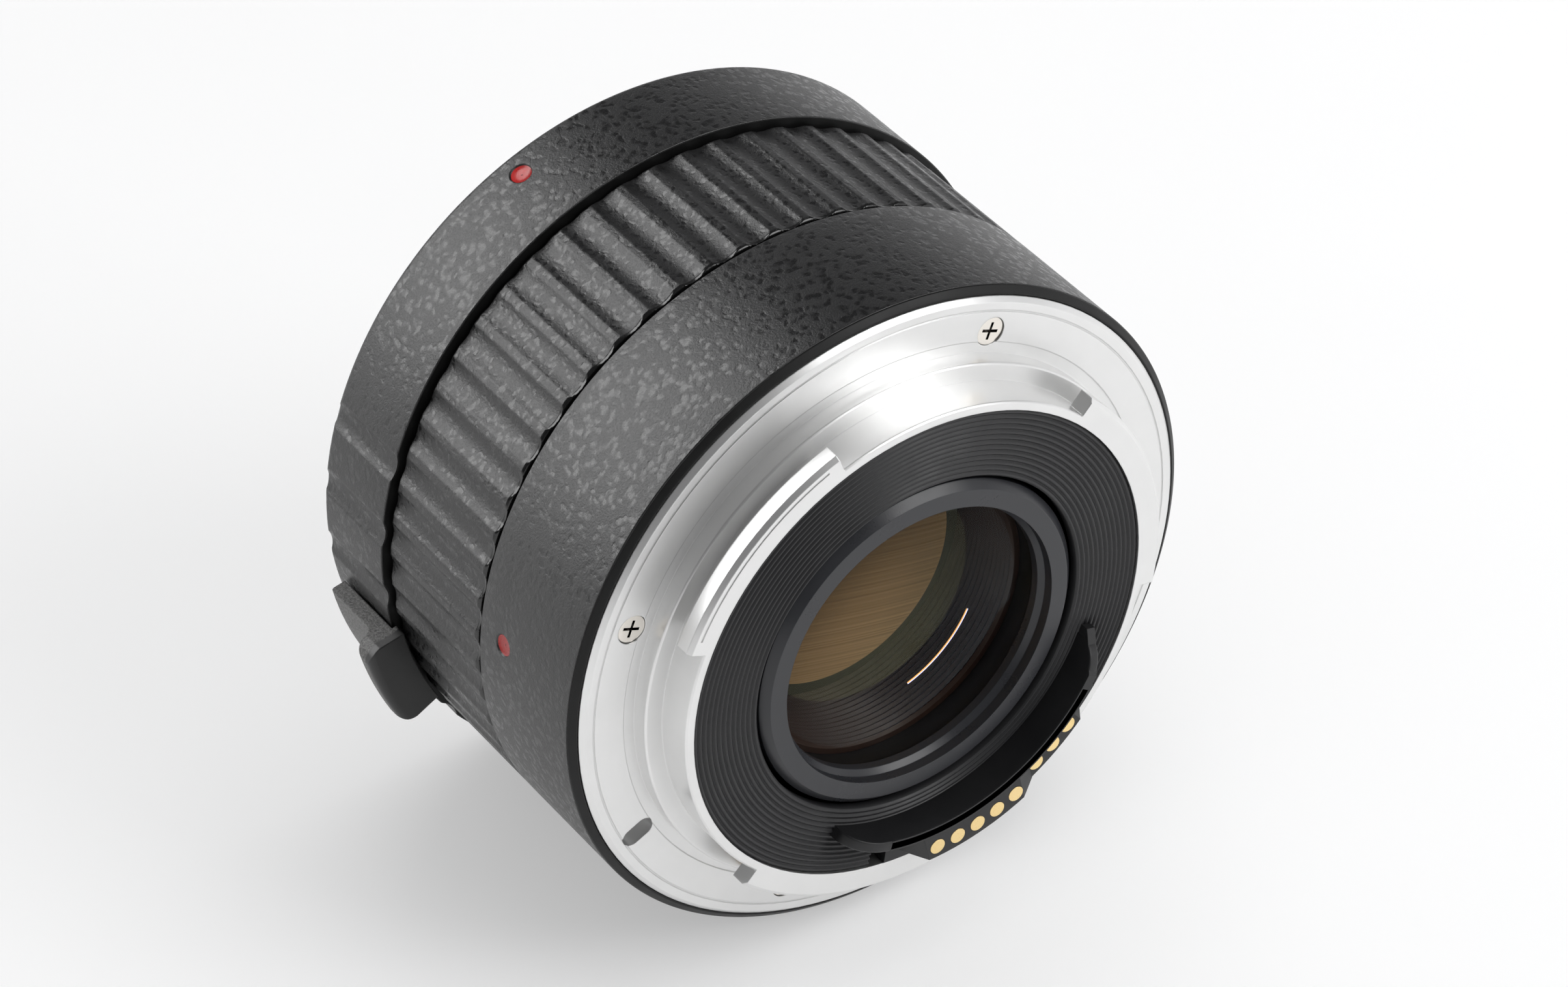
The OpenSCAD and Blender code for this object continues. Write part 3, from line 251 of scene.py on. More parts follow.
# Floor and studio, with the heights and sides over which its light fades
FLOOR_HALF = 2.5
FLOOR_GAP = 0.02 * MM
FLOOR_CLOUD = 60 * MM
FLOOR_DARK = (0.63, 0.63, 0.634)
FLOOR_LIGHT = (0.65, 0.65, 0.654)
FLOOR_LIFT = 0.36
STUDIO_FILL = 0.5
STUDIO_LEFT = (0.85, 0.85, 0.86)
STUDIO_RIGHT = (1.0, 1.0, 1.01)
STUDIO_TOP = (0.10, 0.10, 0.103)
LEFT_FADE = (-0.02, 0.10)
RIGHT_FADE = (0.05, 0.50)
SIDE_FADE = (0.0, 0.5)

# Lamps, by direction from the part, distance, size and brightness
KEY_LAMP = dict(direction=(0.47, -0.63, 0.60), distance=0.9, width=0.5, height=0.5, radiance=4.2)
BACK_LAMP = dict(direction=(-0.51, 0.646, 0.566), distance=0.9, width=1.0, height=0.6, radiance=4.0, roll=-50)
ABOVE_LAMP = dict(direction=(0.30, 0.25, 1.0), distance=1.1, width=1.0, height=1.0, radiance=1.4)

# Camera, which looks at the part as the photograph does
CAMERA_AIM = Vector((-3.8, 10.6, 8.6)) * MM
CAMERA_AZIMUTH = -34.5
CAMERA_ELEVATION = 38.4
CAMERA_DISTANCE = 496.5 * MM
CAMERA_CLIP = 0.01
SENSOR_WIDTH = 36
FOCAL_LENGTH = 127.1

scene = bpy.context.scene
scene.view_settings.view_transform = "Standard"


# Node materials


def add(mat, kind, settings=None, **inputs):
    """New shader node. An input takes a value, or a socket that is then linked to it."""
    made = mat.node_tree.nodes.new("ShaderNode" + kind)
    for name, value in (settings or {}).items():
        setattr(made, name, value)
    for name, value in inputs.items():
        plug(mat, value, made.inputs[name.replace("_", " ")])
    return made


def plug(mat, value, socket):
    """Gives a socket a value, or links another socket to it."""
    if isinstance(value, bpy.types.NodeSocket):
        mat.node_tree.links.new(value, socket)
    else:
        socket.default_value = value


def math_node(mat, operation, *values):
    """Result of an operation on one, two or three numbers."""
    made = add(mat, "Math", {"operation": operation})
    for value, socket in zip(values, made.inputs):
        plug(mat, value, socket)
    return made.outputs[0]


def place(mat):
    """Position on the part, in metres."""
    return add(mat, "TexCoord").outputs["Object"]


def place_parts(mat):
    """Position on the part, split into X, Y and Z."""
    return add(mat, "SeparateXYZ", Vector=place(mat)).outputs


def noise(mat, size, detail=2.0, rough=0.5, where=None):
    """Noise whose grains are about as large as size."""
    made = add(mat, "TexNoise", Scale=1 / size, Detail=detail, Roughness=rough)
    plug(mat, where or place(mat), made.inputs["Vector"])
    return made.outputs["Fac"]


def spread(mat, fac, low, high, to_low=0.0, to_high=1.0):
    """Stretches the range from low to high to another range, and clips what lies outside."""
    made = add(mat, "MapRange", {"clamp": True})
    for name, value in (("Value", fac), ("From Min", low), ("From Max", high),
                        ("To Min", to_low), ("To Max", to_high)):
        plug(mat, value, made.inputs[name])
    return made.outputs[0]


def between(mat, fac, at_none, at_full):
    """Number that goes from one value to another as fac goes from nought to one."""
    return spread(mat, fac, 0, 1, at_none, at_full)


def tint(mat, fac, first, second):
    """Colour between two colours, each given as a value or a socket."""
    made = add(mat, "Mix", {"data_type": "RGBA"}, Factor=fac)
    for colour, place_in in ((first, MIX_FIRST), (second, MIX_SECOND)):
        linked = isinstance(colour, bpy.types.NodeSocket)
        plug(mat, colour if linked else (*colour, 1), made.inputs[place_in])
    return made.outputs[MIX_COLOUR]


def bump(mat, height, distance, strength=1.0, normal=None):
    """Surface relief of that height in metres."""
    made = add(mat, "Bump", Strength=strength, Distance=distance, Height=height)
    if normal:
        plug(mat, normal, made.inputs["Normal"])
    return made.outputs["Normal"]


def radius_from_axis(mat):
    """Distance of the shaded point from the optical axis."""
    parts = place_parts(mat)
    squares = math_node(mat, "ADD", math_node(mat, "MULTIPLY", parts["X"], parts["X"]),
                        math_node(mat, "MULTIPLY", parts["Z"], parts["Z"]))
    return math_node(mat, "SQRT", squares)


def turning_marks(mat, pitch):
    """Fine uneven rings about the optical axis and along it, as a lathe leaves them."""
    along = place_parts(mat)["Y"]
    steps = add(mat, "CombineXYZ", X=radius_from_axis(mat), Y=along)
    return noise(mat, pitch, detail=3.0, rough=0.7, where=steps.outputs["Vector"])


def finish_of(name, values):
    """New material with those values on its shader, and the shader's inputs."""
    mat = bpy.data.materials.new(name)
    mat.use_nodes = True
    shader = mat.node_tree.nodes["Principled BSDF"]
    for socket, value in values.items():
        shader.inputs[socket].default_value = value
    return mat, shader.inputs


def soft_edge(mat, reach):
    """Normal that rounds the edges of a solid by a small reach."""
    return add(mat, "Bevel", {"samples": BEVEL_SAMPLES}, Radius=reach).outputs["Normal"]


def hammertone(name, dark, light, island, bare_station=None):
    """Dark paint with smooth rounded islands in a finely grained ground, and smooth black at one end."""
    mat, into = finish_of(name, {"Specular IOR Level": 0.75})
    sway = add(mat, "TexNoise", Scale=1 / (PAINT_SWAY_SIZE * island), Detail=2.0)
    plug(mat, place(mat), sway.inputs["Vector"])
    drift = add(mat, "VectorMath", {"operation": "MULTIPLY_ADD"})
    plug(mat, sway.outputs["Color"], drift.inputs[0])
    plug(mat, [PAINT_SWAY * island] * 3, drift.inputs[1])
    plug(mat, place(mat), drift.inputs[2])
    cells = add(mat, "TexVoronoi", {"feature": "SMOOTH_F1"}, Scale=1 / island, Smoothness=0.5,
                Randomness=1.0)
    plug(mat, drift.outputs["Vector"], cells.inputs["Vector"])
    islands = spread(mat, cells.outputs["Distance"], *PAINT_ISLANDS)
    grain = noise(mat, 0.2 * MM, detail=3.0, rough=0.7)
    swell = noise(mat, 0.42 * MM, detail=2.0, rough=0.5)
    colour = tint(mat, islands, light, dark)
    speck = spread(mat, noise(mat, 0.16 * MM, detail=2.0, rough=0.7), *GRIT_RANGE, -0.06, 0.06)
    rough = math_node(mat, "ADD", between(mat, islands, 0.40, 0.26), speck)
    depth = between(mat, islands, 1.0, 0.35)
    if bare_station is not None:
        bare = spread(mat, place_parts(mat)["Y"], *(edge - bare_station for edge in PAINT_BARE_EDGE))
        colour = tint(mat, bare, colour, PAINT_BARE)
        covered = math_node(mat, "SUBTRACT", 1.0, bare)
        depth = math_node(mat, "MULTIPLY", depth, covered)
        rough = math_node(mat, "MULTIPLY", rough, between(mat, covered, 0.6, 1.0))
    plug(mat, colour, into["Base Color"])
    plug(mat, rough, into["Roughness"])
    relief = bump(mat, math_node(mat, "MULTIPLY", grain, depth), 0.05 * MM, strength=0.9)
    swollen = math_node(mat, "MULTIPLY", swell, depth)
    plug(mat, bump(mat, swollen, 0.03 * MM, strength=0.5, normal=relief), into["Normal"])
    return mat


def satin_chrome(name):
    """Satin plated metal with a fine grain, duller on its flat faces than on its turned walls."""
    mat, into = finish_of(name, {"Metallic": 0.9})
    grain = noise(mat, 0.1 * MM, detail=2.0, rough=0.6)
    cloud = noise(mat, 6 * MM, detail=3.0)
    facing = add(mat, "SeparateXYZ", Vector=add(mat, "NewGeometry").outputs["Normal"]).outputs["Y"]
    flat = math_node(mat, "POWER", math_node(mat, "ABSOLUTE", facing), 3.0)
    uneven = spread(mat, turning_marks(mat, 0.5 * MM), *NOISE_RANGE, -0.02, 0.03)
    plug(mat, tint(mat, cloud, CHROME_DARK, CHROME_LIGHT), into["Base Color"])
    plug(mat, math_node(mat, "ADD", between(mat, flat, 0.30, 0.42), uneven), into["Roughness"])
    plug(mat, bump(mat, grain, 0.004 * MM, strength=0.6, normal=soft_edge(mat, 0.15 * MM)), into["Normal"])
    return mat


def screw_metal(name):
    """Bright screw with painted shade in its recess and under its head, from ambient occlusion."""
    mat, into = finish_of(name, {"Metallic": 1.0})
    grain = noise(mat, 0.2 * MM, detail=3.0, rough=0.6)
    # Painted shade: ambient occlusion darkens the colour in the recess and under the head
    unoccluded = add(mat, "AmbientOcclusion", {"samples": PAINTED_SHADE_SAMPLES}, Distance=PAINTED_SHADE_REACH).outputs["AO"]
    unshaded_share = spread(mat, unoccluded, *PAINTED_SHADE_RANGE)
    plug(mat, tint(mat, unshaded_share, SCREW_PAINTED_SHADE, SCREW_UNSHADED), into["Base Color"])
    plug(mat, spread(mat, grain, *NOISE_RANGE, 0.14, 0.26), into["Roughness"])
    plug(mat, bump(mat, grain, 0.003 * MM, strength=0.5, normal=soft_edge(mat, 0.08 * MM)), into["Normal"])
    return mat


def plain_metal(name, low, high, rough_low, rough_high):
    """Metal with a little unevenness in colour and shine."""
    mat, into = finish_of(name, {"Metallic": 1.0})
    grain = noise(mat, METAL_GRAIN, detail=3.0, rough=0.6)
    plug(mat, tint(mat, noise(mat, 2.5 * MM, detail=3.0), low, high), into["Base Color"])
    plug(mat, spread(mat, grain, *NOISE_RANGE, rough_low, rough_high), into["Roughness"])
    plug(mat, bump(mat, grain, 0.003 * MM, strength=0.5, normal=soft_edge(mat, 0.06 * MM)), into["Normal"])
    return mat


def moulded_black(name, dark, light, rough_low, rough_high, level=0.5):
    """Black moulding or anodised part with a fine matt grain."""
    mat, into = finish_of(name, {"Specular IOR Level": level})
    grain = noise(mat, MOULD_GRAIN, detail=2.0, rough=0.6)
    cloud = noise(mat, 3.5 * MM, detail=4.0, rough=0.6)
    plug(mat, tint(mat, cloud, dark, light), into["Base Color"])
    plug(mat, spread(mat, cloud, *NOISE_RANGE, rough_low, rough_high), into["Roughness"])
    plug(mat, bump(mat, grain, 0.01 * MM, strength=0.5, normal=soft_edge(mat, 0.1 * MM)), into["Normal"])
    return mat


def enamel(name, low, high):
    """Glossy paint that has settled unevenly."""
    mat, into = finish_of(name, {"Specular IOR Level": 0.6})
    cloud = noise(mat, 0.6 * MM, detail=3.0)
    plug(mat, tint(mat, cloud, low, high), into["Base Color"])
    plug(mat, spread(mat, cloud, *NOISE_RANGE, 0.22, 0.34), into["Roughness"])
    plug(mat, bump(mat, noise(mat, 0.2 * MM, detail=2.0), 0.008 * MM, strength=0.5), into["Normal"])
    return mat


def lever_finish(name):
    """Gritty worn grey on the bar, and smooth black on the face of the thumb tab."""
    mat, into = finish_of(name, {"Specular IOR Level": 0.6})
    along = place_parts(mat)["Y"]
    ragged = math_node(mat, "MULTIPLY_ADD", noise(mat, 0.5 * MM, detail=3.0), TAB_RAGGED, -TAB_RAGGED / 2)
    edge = -TAB_Z + TAB_FACE
    bare = spread(mat, math_node(mat, "ADD", along, ragged), edge, edge + TAB_FADE)
    grit = noise(mat, 0.22 * MM, detail=3.0, rough=0.75)
    grey = tint(mat, spread(mat, grit, *GRIT_RANGE), *LEVER_GREY)
    black = tint(mat, noise(mat, 2 * MM, detail=3.0), *LEVER_BLACK)
    plug(mat, tint(mat, bare, black, grey), into["Base Color"])
    plug(mat, between(mat, bare, 0.38, 0.5), into["Roughness"])
    depth = math_node(mat, "MULTIPLY", grit, between(mat, bare, 0.15, 1.0))
    plug(mat, bump(mat, depth, 0.06 * MM, strength=0.9, normal=soft_edge(mat, 0.2 * MM)), into["Normal"])
    return mat


def see_through(mat, share):
    """Lets light pass a surface, apart from a share that its shader keeps."""
    nodes = mat.node_tree.nodes
    through = add(mat, "BsdfTransparent", Color=CLEAR_TINT)
    both = add(mat, "MixShader", Fac=share)
    plug(mat, through.outputs["BSDF"], both.inputs[1])
    plug(mat, nodes["Principled BSDF"].outputs["BSDF"], both.inputs[2])
    plug(mat, both.outputs["Shader"], nodes["Material Output"].inputs["Surface"])


def coated_glass(name, coat):
    """Clear glass whose tinted coating glints faintly, with a trace of smudges."""
    mat, into = finish_of(name, {"Metallic": 1.0, "Roughness": 0.03})
    smudge = noise(mat, 4 * MM, detail=3.0)
    plug(mat, tint(mat, smudge, tuple(COAT_SHADE * c for c in coat), coat), into["Base Color"])
    outside = math_node(mat, "SUBTRACT", 1.0, add(mat, "NewGeometry").outputs["Backfacing"])
    fresnel = add(mat, "Fresnel", IOR=COAT_IOR).outputs["Fac"]
    glint = math_node(mat, "MULTIPLY", fresnel, between(mat, smudge, 0.3, 0.42))
    glint = math_node(mat, "MULTIPLY", glint, outside)
    see_through(mat, glint)
    return mat


def place_across(mat, clock):
    """Distance of the shaded point from the axis toward a clock angle."""
    side = math.radians(clock)
    parts = place_parts(mat)
    return math_node(mat, "ADD", math_node(mat, "MULTIPLY", parts["X"], math.cos(side)),
                     math_node(mat, "MULTIPLY", parts["Z"], math.sin(side)))


def core_painted_reflection(name):
    """Face of the glass deep in the tube, with a painted reflection: an amber glow toward one side crossed by
    faint painted lines of the ridged bore.
    """
    mat, into = finish_of(name, {"Roughness": 0.2, "Specular IOR Level": 0.1})
    # Painted reflection: amber glow toward one side, crossed by lines of the ridged bore
    painted_glow = spread(mat, place_across(mat, PAINTED_GLOW_CLOCK), *CORE_REFLECTION_SPAN)
    rows = add(mat, "CombineXYZ", X=place_across(mat, RIDGE_REFLECTION_CLOCK))
    ridge_reflections = noise(mat, RIDGE_REFLECTION_SIZE, detail=1.0, rough=0.5, where=rows.outputs["Vector"])
    shade = math_node(mat, "MULTIPLY", painted_glow, spread(mat, ridge_reflections, *GRIT_RANGE, 0.6, 1.0))
    plug(mat, tint(mat, shade, CORE_REFLECTION_DARK, CORE_REFLECTION_LIGHT), into["Base Color"])
    return mat


def deep_glass(name):
    """Opaque coated glass far inside a dark tube, coloured near-black as painted shade for the tube seen through
    it, with a greenish glint.
    """
    mat, into = finish_of(name, {"Specular IOR Level": 0.7, "Specular Tint": DEEP_TINT})
    cloud = noise(mat, 5 * MM, detail=3.0)
    # Painted shade: near-black colour in place of the dark tube seen through the glass
    plug(mat, tint(mat, cloud, DEEP_SHADE_DARK, DEEP_SHADE_LIGHT), into["Base Color"])
    plug(mat, spread(mat, cloud, *NOISE_RANGE, 0.03, 0.07), into["Roughness"])
    return mat


def painted_reflection_veil(name, colour, share):
    """See-through sheet inside the glass with a painted faint coloured reflection, stronger toward the lit side.
    """
    mat, into = finish_of(name, {"Roughness": 0.3, "Specular IOR Level": 0.1})
    cloud = noise(mat, 3 * MM, detail=3.0)
    plug(mat, tint(mat, cloud, tuple(VEIL_DIM * c for c in colour), colour), into["Base Color"])
    # Painted reflection: its share grows toward the lit side
    reflection_share = spread(mat, place_across(mat, PAINTED_GLOW_CLOCK), *VEIL_REFLECTION_SPAN, VEIL_SHADE * share, share)
    see_through(mat, reflection_share)
    return mat


def painted_glint_edge(name):
    """Painted glint of a bevelled glass edge, which glows in bands of colour across its width."""
    # The arc glows with its own light, as a painted glint
    mat, into = finish_of(name, {"Roughness": 0.2, "Emission Strength": 0.9})
    across = spread(mat, radius_from_axis(mat), GLINT_R - GLINT_HALF, GLINT_R + GLINT_HALF)
    ramp = add(mat, "ValToRGB", Fac=across)
    bands = ramp.color_ramp.elements
    bands[0].color = GLINT_INNER
    bands[1].color = GLINT_OUTER
    bands.new(0.5).color = GLINT_MIDDLE
    plug(mat, ramp.outputs["Color"], into["Base Color"])
    plug(mat, ramp.outputs["Color"], into["Emission Color"])
    return mat


# Maker of each slot's finish, with what it takes after the name
FINISHES = {
    "barrel_paint": (hammertone, PAINT_DARK, PAINT_LIGHT, 0.85 * MM),
    "grip_paint": (hammertone, PAINT_DARK, PAINT_LIGHT, 0.7 * MM, GRIP_Z1),
    "chassis_metal": (moulded_black, (0.004, 0.004, 0.004), (0.006, 0.006, 0.006), 0.4, 0.5, 0.3),
    "mark_red": (enamel, (0.42, 0.006, 0.006), (0.55, 0.014, 0.01)),
    "mount_chrome": (satin_chrome,),
    "shim_steel": (plain_metal, STEEL_DARK, STEEL_LIGHT, 0.3, 0.45),
    "screw_nickel": (screw_metal,),
    "stop_brass": (plain_metal, (0.60, 0.42, 0.18), (0.72, 0.54, 0.26), 0.25, 0.4),
    "baffle_black": (moulded_black, (0.012, 0.012, 0.013), (0.018, 0.018, 0.02), 0.4, 0.52),
    "contact_plastic": (moulded_black, PLASTIC_DARK, PLASTIC_LIGHT, 0.4, 0.52),
    "contact_gold": (plain_metal, (0.92, 0.68, 0.30), (0.98, 0.76, 0.40), 0.25, 0.36),
    "spring_steel": (plain_metal, STEEL_DARK, STEEL_LIGHT, 0.25, 0.35),
    "lever_black": (lever_finish,),
    "slider_steel": (plain_metal, STEEL_DARK, (0.62, 0.62, 0.62), 0.25, 0.4),
    "cell_black": (moulded_black, PLASTIC_DARK, PLASTIC_LIGHT, 0.34, 0.44),
    "ring_grey": (moulded_black, (0.022, 0.023, 0.027), (0.032, 0.033, 0.038), 0.26, 0.34),
    "optical_glass": (coated_glass, (0.75, 0.9, 1.0)),
    "board_green": (moulded_black, (0.01, 0.06, 0.02), (0.015, 0.09, 0.03), 0.3, 0.45),
    "chip_black": (moulded_black, (0.012, 0.012, 0.012), (0.02, 0.02, 0.02), 0.45, 0.6),
    "flex_amber": (moulded_black, (0.30, 0.13, 0.03), (0.38, 0.18, 0.05), 0.3, 0.45),
}
MATERIALS = {name: maker(name, *values) for name, (maker, *values) in FINISHES.items()}

# Finishes of single pieces
CORE_REFLECTION_FINISH = core_painted_reflection("core_painted_reflection")
VEIL_REFLECTION_FINISH = painted_reflection_veil("painted_reflection_veil", VEIL_REFLECTION_COLOUR, VEIL_REFLECTION_SHARE)
GLINT_FINISH = painted_glint_edge("painted_glint_edge")
BORE_FINISH = moulded_black("bore_brown", (0.022, 0.012, 0.009), (0.034, 0.020, 0.016), 0.34, 0.44, level=0.2)
DEEP_FINISH = deep_glass("deep_glass")
NODE_FINISHES = {"rear_spacer": BORE_FINISH, "lens_element_3": DEEP_FINISH, "lens_element_4": DEEP_FINISH,
                 "lens_element_5": DEEP_FINISH}


def dress_solids():
    """Gives every solid its own finish, or that of its slot."""
    for part in frame["record"]["subparts"]:
        mesh = frame["nodes"][part["node"]].data
        mesh.materials.clear()
        mesh.materials.append(NODE_FINISHES.get(part["node"], MATERIALS[part["material_slot"]]))


# Mesh pieces


def lens_point(r, clock, z):
    """Point of the lens frame."""
    a = math.radians(clock)
    return Vector((r * math.cos(a), -z, r * math.sin(a)))


def rounded(corners, steps=CORNER_STEPS):
    """Closed outline of radius and station. Each corner gives its radius, station and rounding."""
    outline = []
    for i, (r, z, fillet) in enumerate(corners):
        here = Vector((r, z))
        if not fillet:
            outline.append(here)
            continue
        back = (Vector(corners[i - 1][:2]) - here).normalized()
        ahead = (Vector(corners[(i + 1) % len(corners)][:2]) - here).normalized()
        half = back.angle(ahead) / 2
        centre = here + (back + ahead).normalized() * (fillet / math.sin(half))
        start = here + back * (fillet / math.tan(half)) - centre
        end = here + ahead * (fillet / math.tan(half)) - centre
        first = math.atan2(start.y, start.x)
        turn = (math.atan2(end.y, end.x) - first + math.pi) % (2 * math.pi) - math.pi
        for k in range(steps + 1):
            a = first + turn * k / steps
            outline.append(centre + Vector((math.cos(a), math.sin(a))) * fillet)
    return outline


def with_rows(outline, stations, r_above):
    """Adds points at those stations along the lengthwise lines of an outline that lie above a radius."""
    rows = []
    for here, ahead in zip(outline, outline[1:] + outline[:1]):
        rows.append(here)
        if min(here.x, ahead.x) > r_above and abs(ahead.x - here.x) < SAME_PLACE:
            low, high = sorted((here.y, ahead.y))
            added = sorted(z for z in stations if low + ROW_CLEAR < z < high - ROW_CLEAR)
            if ahead.y < here.y:
                added.reverse()
            rows += [Vector((here.x, z)) for z in added]
    return rows


def bridge(made, ring, next_ring):
    """Joins two closed rings of points by faces."""
    for k in range(len(ring)):
        n = (k + 1) % len(ring)
        made.faces.new((ring[k], ring[n], next_ring[n], next_ring[k]))


def turned(outline, clocks, shape=None):
    """Mesh of an outline turned about the axis. The shape may change a point's radius."""
    made = bmesh.new()
    rings = []
    for clock in clocks:
        ring = []
        for point in outline:
            r = shape(clock, point.x, point.y) if shape else point.x
            ring.append(made.verts.new(lens_point(r, clock, point.y)))
        rings.append(ring)
    for ring, next_ring in zip(rings, rings[1:] + rings[:1]):
        bridge(made, ring, next_ring)
    bmesh.ops.remove_doubles(made, verts=made.verts, dist=SAME_PLACE)
    bmesh.ops.recalc_face_normals(made, faces=made.faces)
    return made


def scene_object(name, data):
    """New object in the scene."""
    obj = bpy.data.objects.new(name, data)
    scene.collection.objects.link(obj)
    return obj


def mesh_object(name, made):
    """New object in the scene, of a finished mesh."""
    mesh = bpy.data.meshes.new(name)
    made.to_mesh(mesh)
    made.free()
    return scene_object(name, mesh)


def piece(name, made, body, slot, *nodes, sharp=SHARP_ANGLE, finish=None):
    """Object of a finished mesh that rides on a body, and may stand for solids."""
    obj = mesh_object(name, made)
    smooth(obj.data, sharp)
    obj.data.materials.append(finish or MATERIALS[slot])
    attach(obj, body)
    if nodes:
        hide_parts(*nodes)
    return obj


def smooth(mesh, sharp):
    """Smooth shading, with edges sharp above an angle."""
    for face in mesh.polygons:
        face.use_smooth = True
    mesh.set_sharp_from_angle(angle=math.radians(sharp))


def even_clocks(count):
    """Clock angles all round."""
    return [360 * i / count for i in range(count)]


def turn_from(clock, centre):
    """Turn from a centre to a clock angle, within half a turn either way."""
    return (clock - centre + 180) % 360 - 180


def with_fine_clocks(clocks, centre, half, step):
    """Clock angles with more of them near one place."""
    count = round(2 * half / step)
    fine = [centre - half + step * i for i in range(count + 1)]
    kept = [c for c in clocks if abs(turn_from(c, centre)) > half + step / 2]
    return sorted(c % 360 for c in kept + fine)


def fine_rows(centre):
    """Stations close together across a mark."""
    reach = MARK_R + 2 * MARK_RIM
    return [centre + reach * (k / MARK_ROWS - 1) for k in range(2 * MARK_ROWS + 1)]


def mark_dip(clock, z, r, mark_clock, mark_z):
    """Depth of the rounded recess of a mark at one place."""
    across = math.radians(turn_from(clock, mark_clock)) * r
    out = math.hypot(across, z - mark_z)
    t = min(max((MARK_R + MARK_RIM - out) / (2 * MARK_RIM), 0), 1)
    return MARK_DEPTH * t * t * (3 - 2 * t)


def flute_dip(pitches):
    """Depth of a flute, for a number of flute pitches from its middle, with softened edges."""
    across = pitches * FLUTE_PITCH / FLUTE_HALF
    share = 1 - across * across
    return FLUTE_DEPTH * (share + math.hypot(share, FLUTE_EDGE)) / 2


def collar_dip(clock):
    """Depth of the collar's flutes at a clock angle."""
    pitches = abs(turn_from(clock, LEVER_CLOCK)) / FLUTE_PITCH
    away = [pitches - COLLAR_FIRST_FLUTE - COLLAR_FLUTE_STEP * i for i in range(COLLAR_FLUTES)]
    return flute_dip(min(away, key=abs))


def arc_block(r0, r1, z0, z1, clock0, clock1):
    """Solid arc of rectangular section."""
    made = bmesh.new()
    corners = ((r0, z0), (r1, z0), (r1, z1), (r0, z1))
    rings = []
    for k in range(ARC_STEPS + 1):
        clock = clock0 + (clock1 - clock0) * k / ARC_STEPS
        rings.append([made.verts.new(lens_point(r, clock, z)) for r, z in corners])
    skin(made, rings)
    return made


def skin(made, rings):
    """Closes a row of equal rings of points into a solid with two ends."""
    for ring, next_ring in zip(rings, rings[1:]):
        bridge(made, ring, next_ring)
    made.faces.new(rings[0])
    made.faces.new(rings[-1])
    bmesh.ops.recalc_face_normals(made, faces=made.faces)


def carve(obj, made, sharp=SHARP_ANGLE):
    """Takes a solid out of an object."""
    cutter = mesh_object("cutter", made)
    cut = obj.modifiers.new("cut", "BOOLEAN")
    cut.operation = "DIFFERENCE"
    cut.solver = "EXACT"
    cut.object = cutter
    done = bpy.data.meshes.new_from_object(obj.evaluated_get(bpy.context.evaluated_depsgraph_get()))
    obj.modifiers.clear()
    obj.data = done
    smooth(done, sharp)
    bpy.data.objects.remove(cutter)


def make_barrel():
    """Rear sleeve with a recess for its mark, and the black bevelled rim around the flange."""
    rim_in = FLANGE_R + FIT_GAP
    rim_foot = BARREL_Z1 - RIM_BEVEL
    split_r = BODY_R - RIM_DEPTH
    mark_z = station_of("rear_index_dot")
    outline = rounded([
        (BARREL_IN, BARREL_Z0, 0),
        (BODY_R, BARREL_Z0, EDGE_ROUND),
        (BODY_R, rim_foot, RIM_ROUND),
        (split_r, rim_foot, 0),
        (split_r, -FLANGE_T, 0),
        (BARREL_IN, -FLANGE_T, 0),
    ])
    outline = with_rows(outline, fine_rows(mark_z), BODY_R - EDGE_ROUND)
    clocks = with_fine_clocks(even_clocks(RING_STEPS), REAR_MARK_CLOCK, MARK_FINE_HALF, MARK_FINE_STEP)

    def shape(clock, r, z):
        return r - mark_dip(clock, z, r, REAR_MARK_CLOCK, mark_z) if r > BODY_R - HAIRLINE else r

    piece("rear_barrel_shell", turned(outline, clocks, shape), "body", "barrel_paint", "rear_barrel")
    rim = rounded([
        (rim_in, -FLANGE_T, 0),
        (split_r - HAIRLINE, -FLANGE_T, 0),
        (split_r - HAIRLINE, rim_foot + HAIRLINE, 0),
        (BODY_R - RIM_LIP, rim_foot + HAIRLINE, RIM_LIP),
        (BODY_R - EDGE_ROUND, rim_foot + RIM_STEP, RIM_ROUND),
        (rim_in + RIM_TOP_IN, BARREL_Z1, RIM_STEP),
        (rim_in, BARREL_Z1 - EDGE_ROUND, RIM_LIP),
    ])
    piece("rear_barrel_rim", turned(rim, even_clocks(RING_STEPS)), "body", "chassis_metal")


def make_grip():
    """Fluted sleeve with narrow lands between broad flutes."""
    outline = rounded([
        (GRIP_IN, GRIP_Z0, 0),
        (GRIP_R, GRIP_Z0, GRIP_END_ROUND),
        (GRIP_R, GRIP_Z1, GRIP_END_ROUND),
        (GRIP_IN, GRIP_Z1, 0),
    ])

    def shape(clock, r, z):
        pitches = (clock - TOP_CLOCK) / FLUTE_PITCH
        return min(r, GRIP_R - flute_dip(pitches - round(pitches)))

    clocks = []
    for i in range(GRIP_FLUTES):
        middle = TOP_CLOCK + i * FLUTE_PITCH
        clocks += [middle + FLUTE_HALF * (2 * k / FLUTE_STEPS - 1) for k in range(FLUTE_STEPS + 1)]
        land = FLUTE_PITCH - 2 * FLUTE_HALF
        clocks += [middle + FLUTE_HALF + land * k / LAND_STEPS for k in range(1, LAND_STEPS)]
    piece("grip_sleeve", turned(outline, clocks, shape), "body", "grip_paint", "grip_ring")


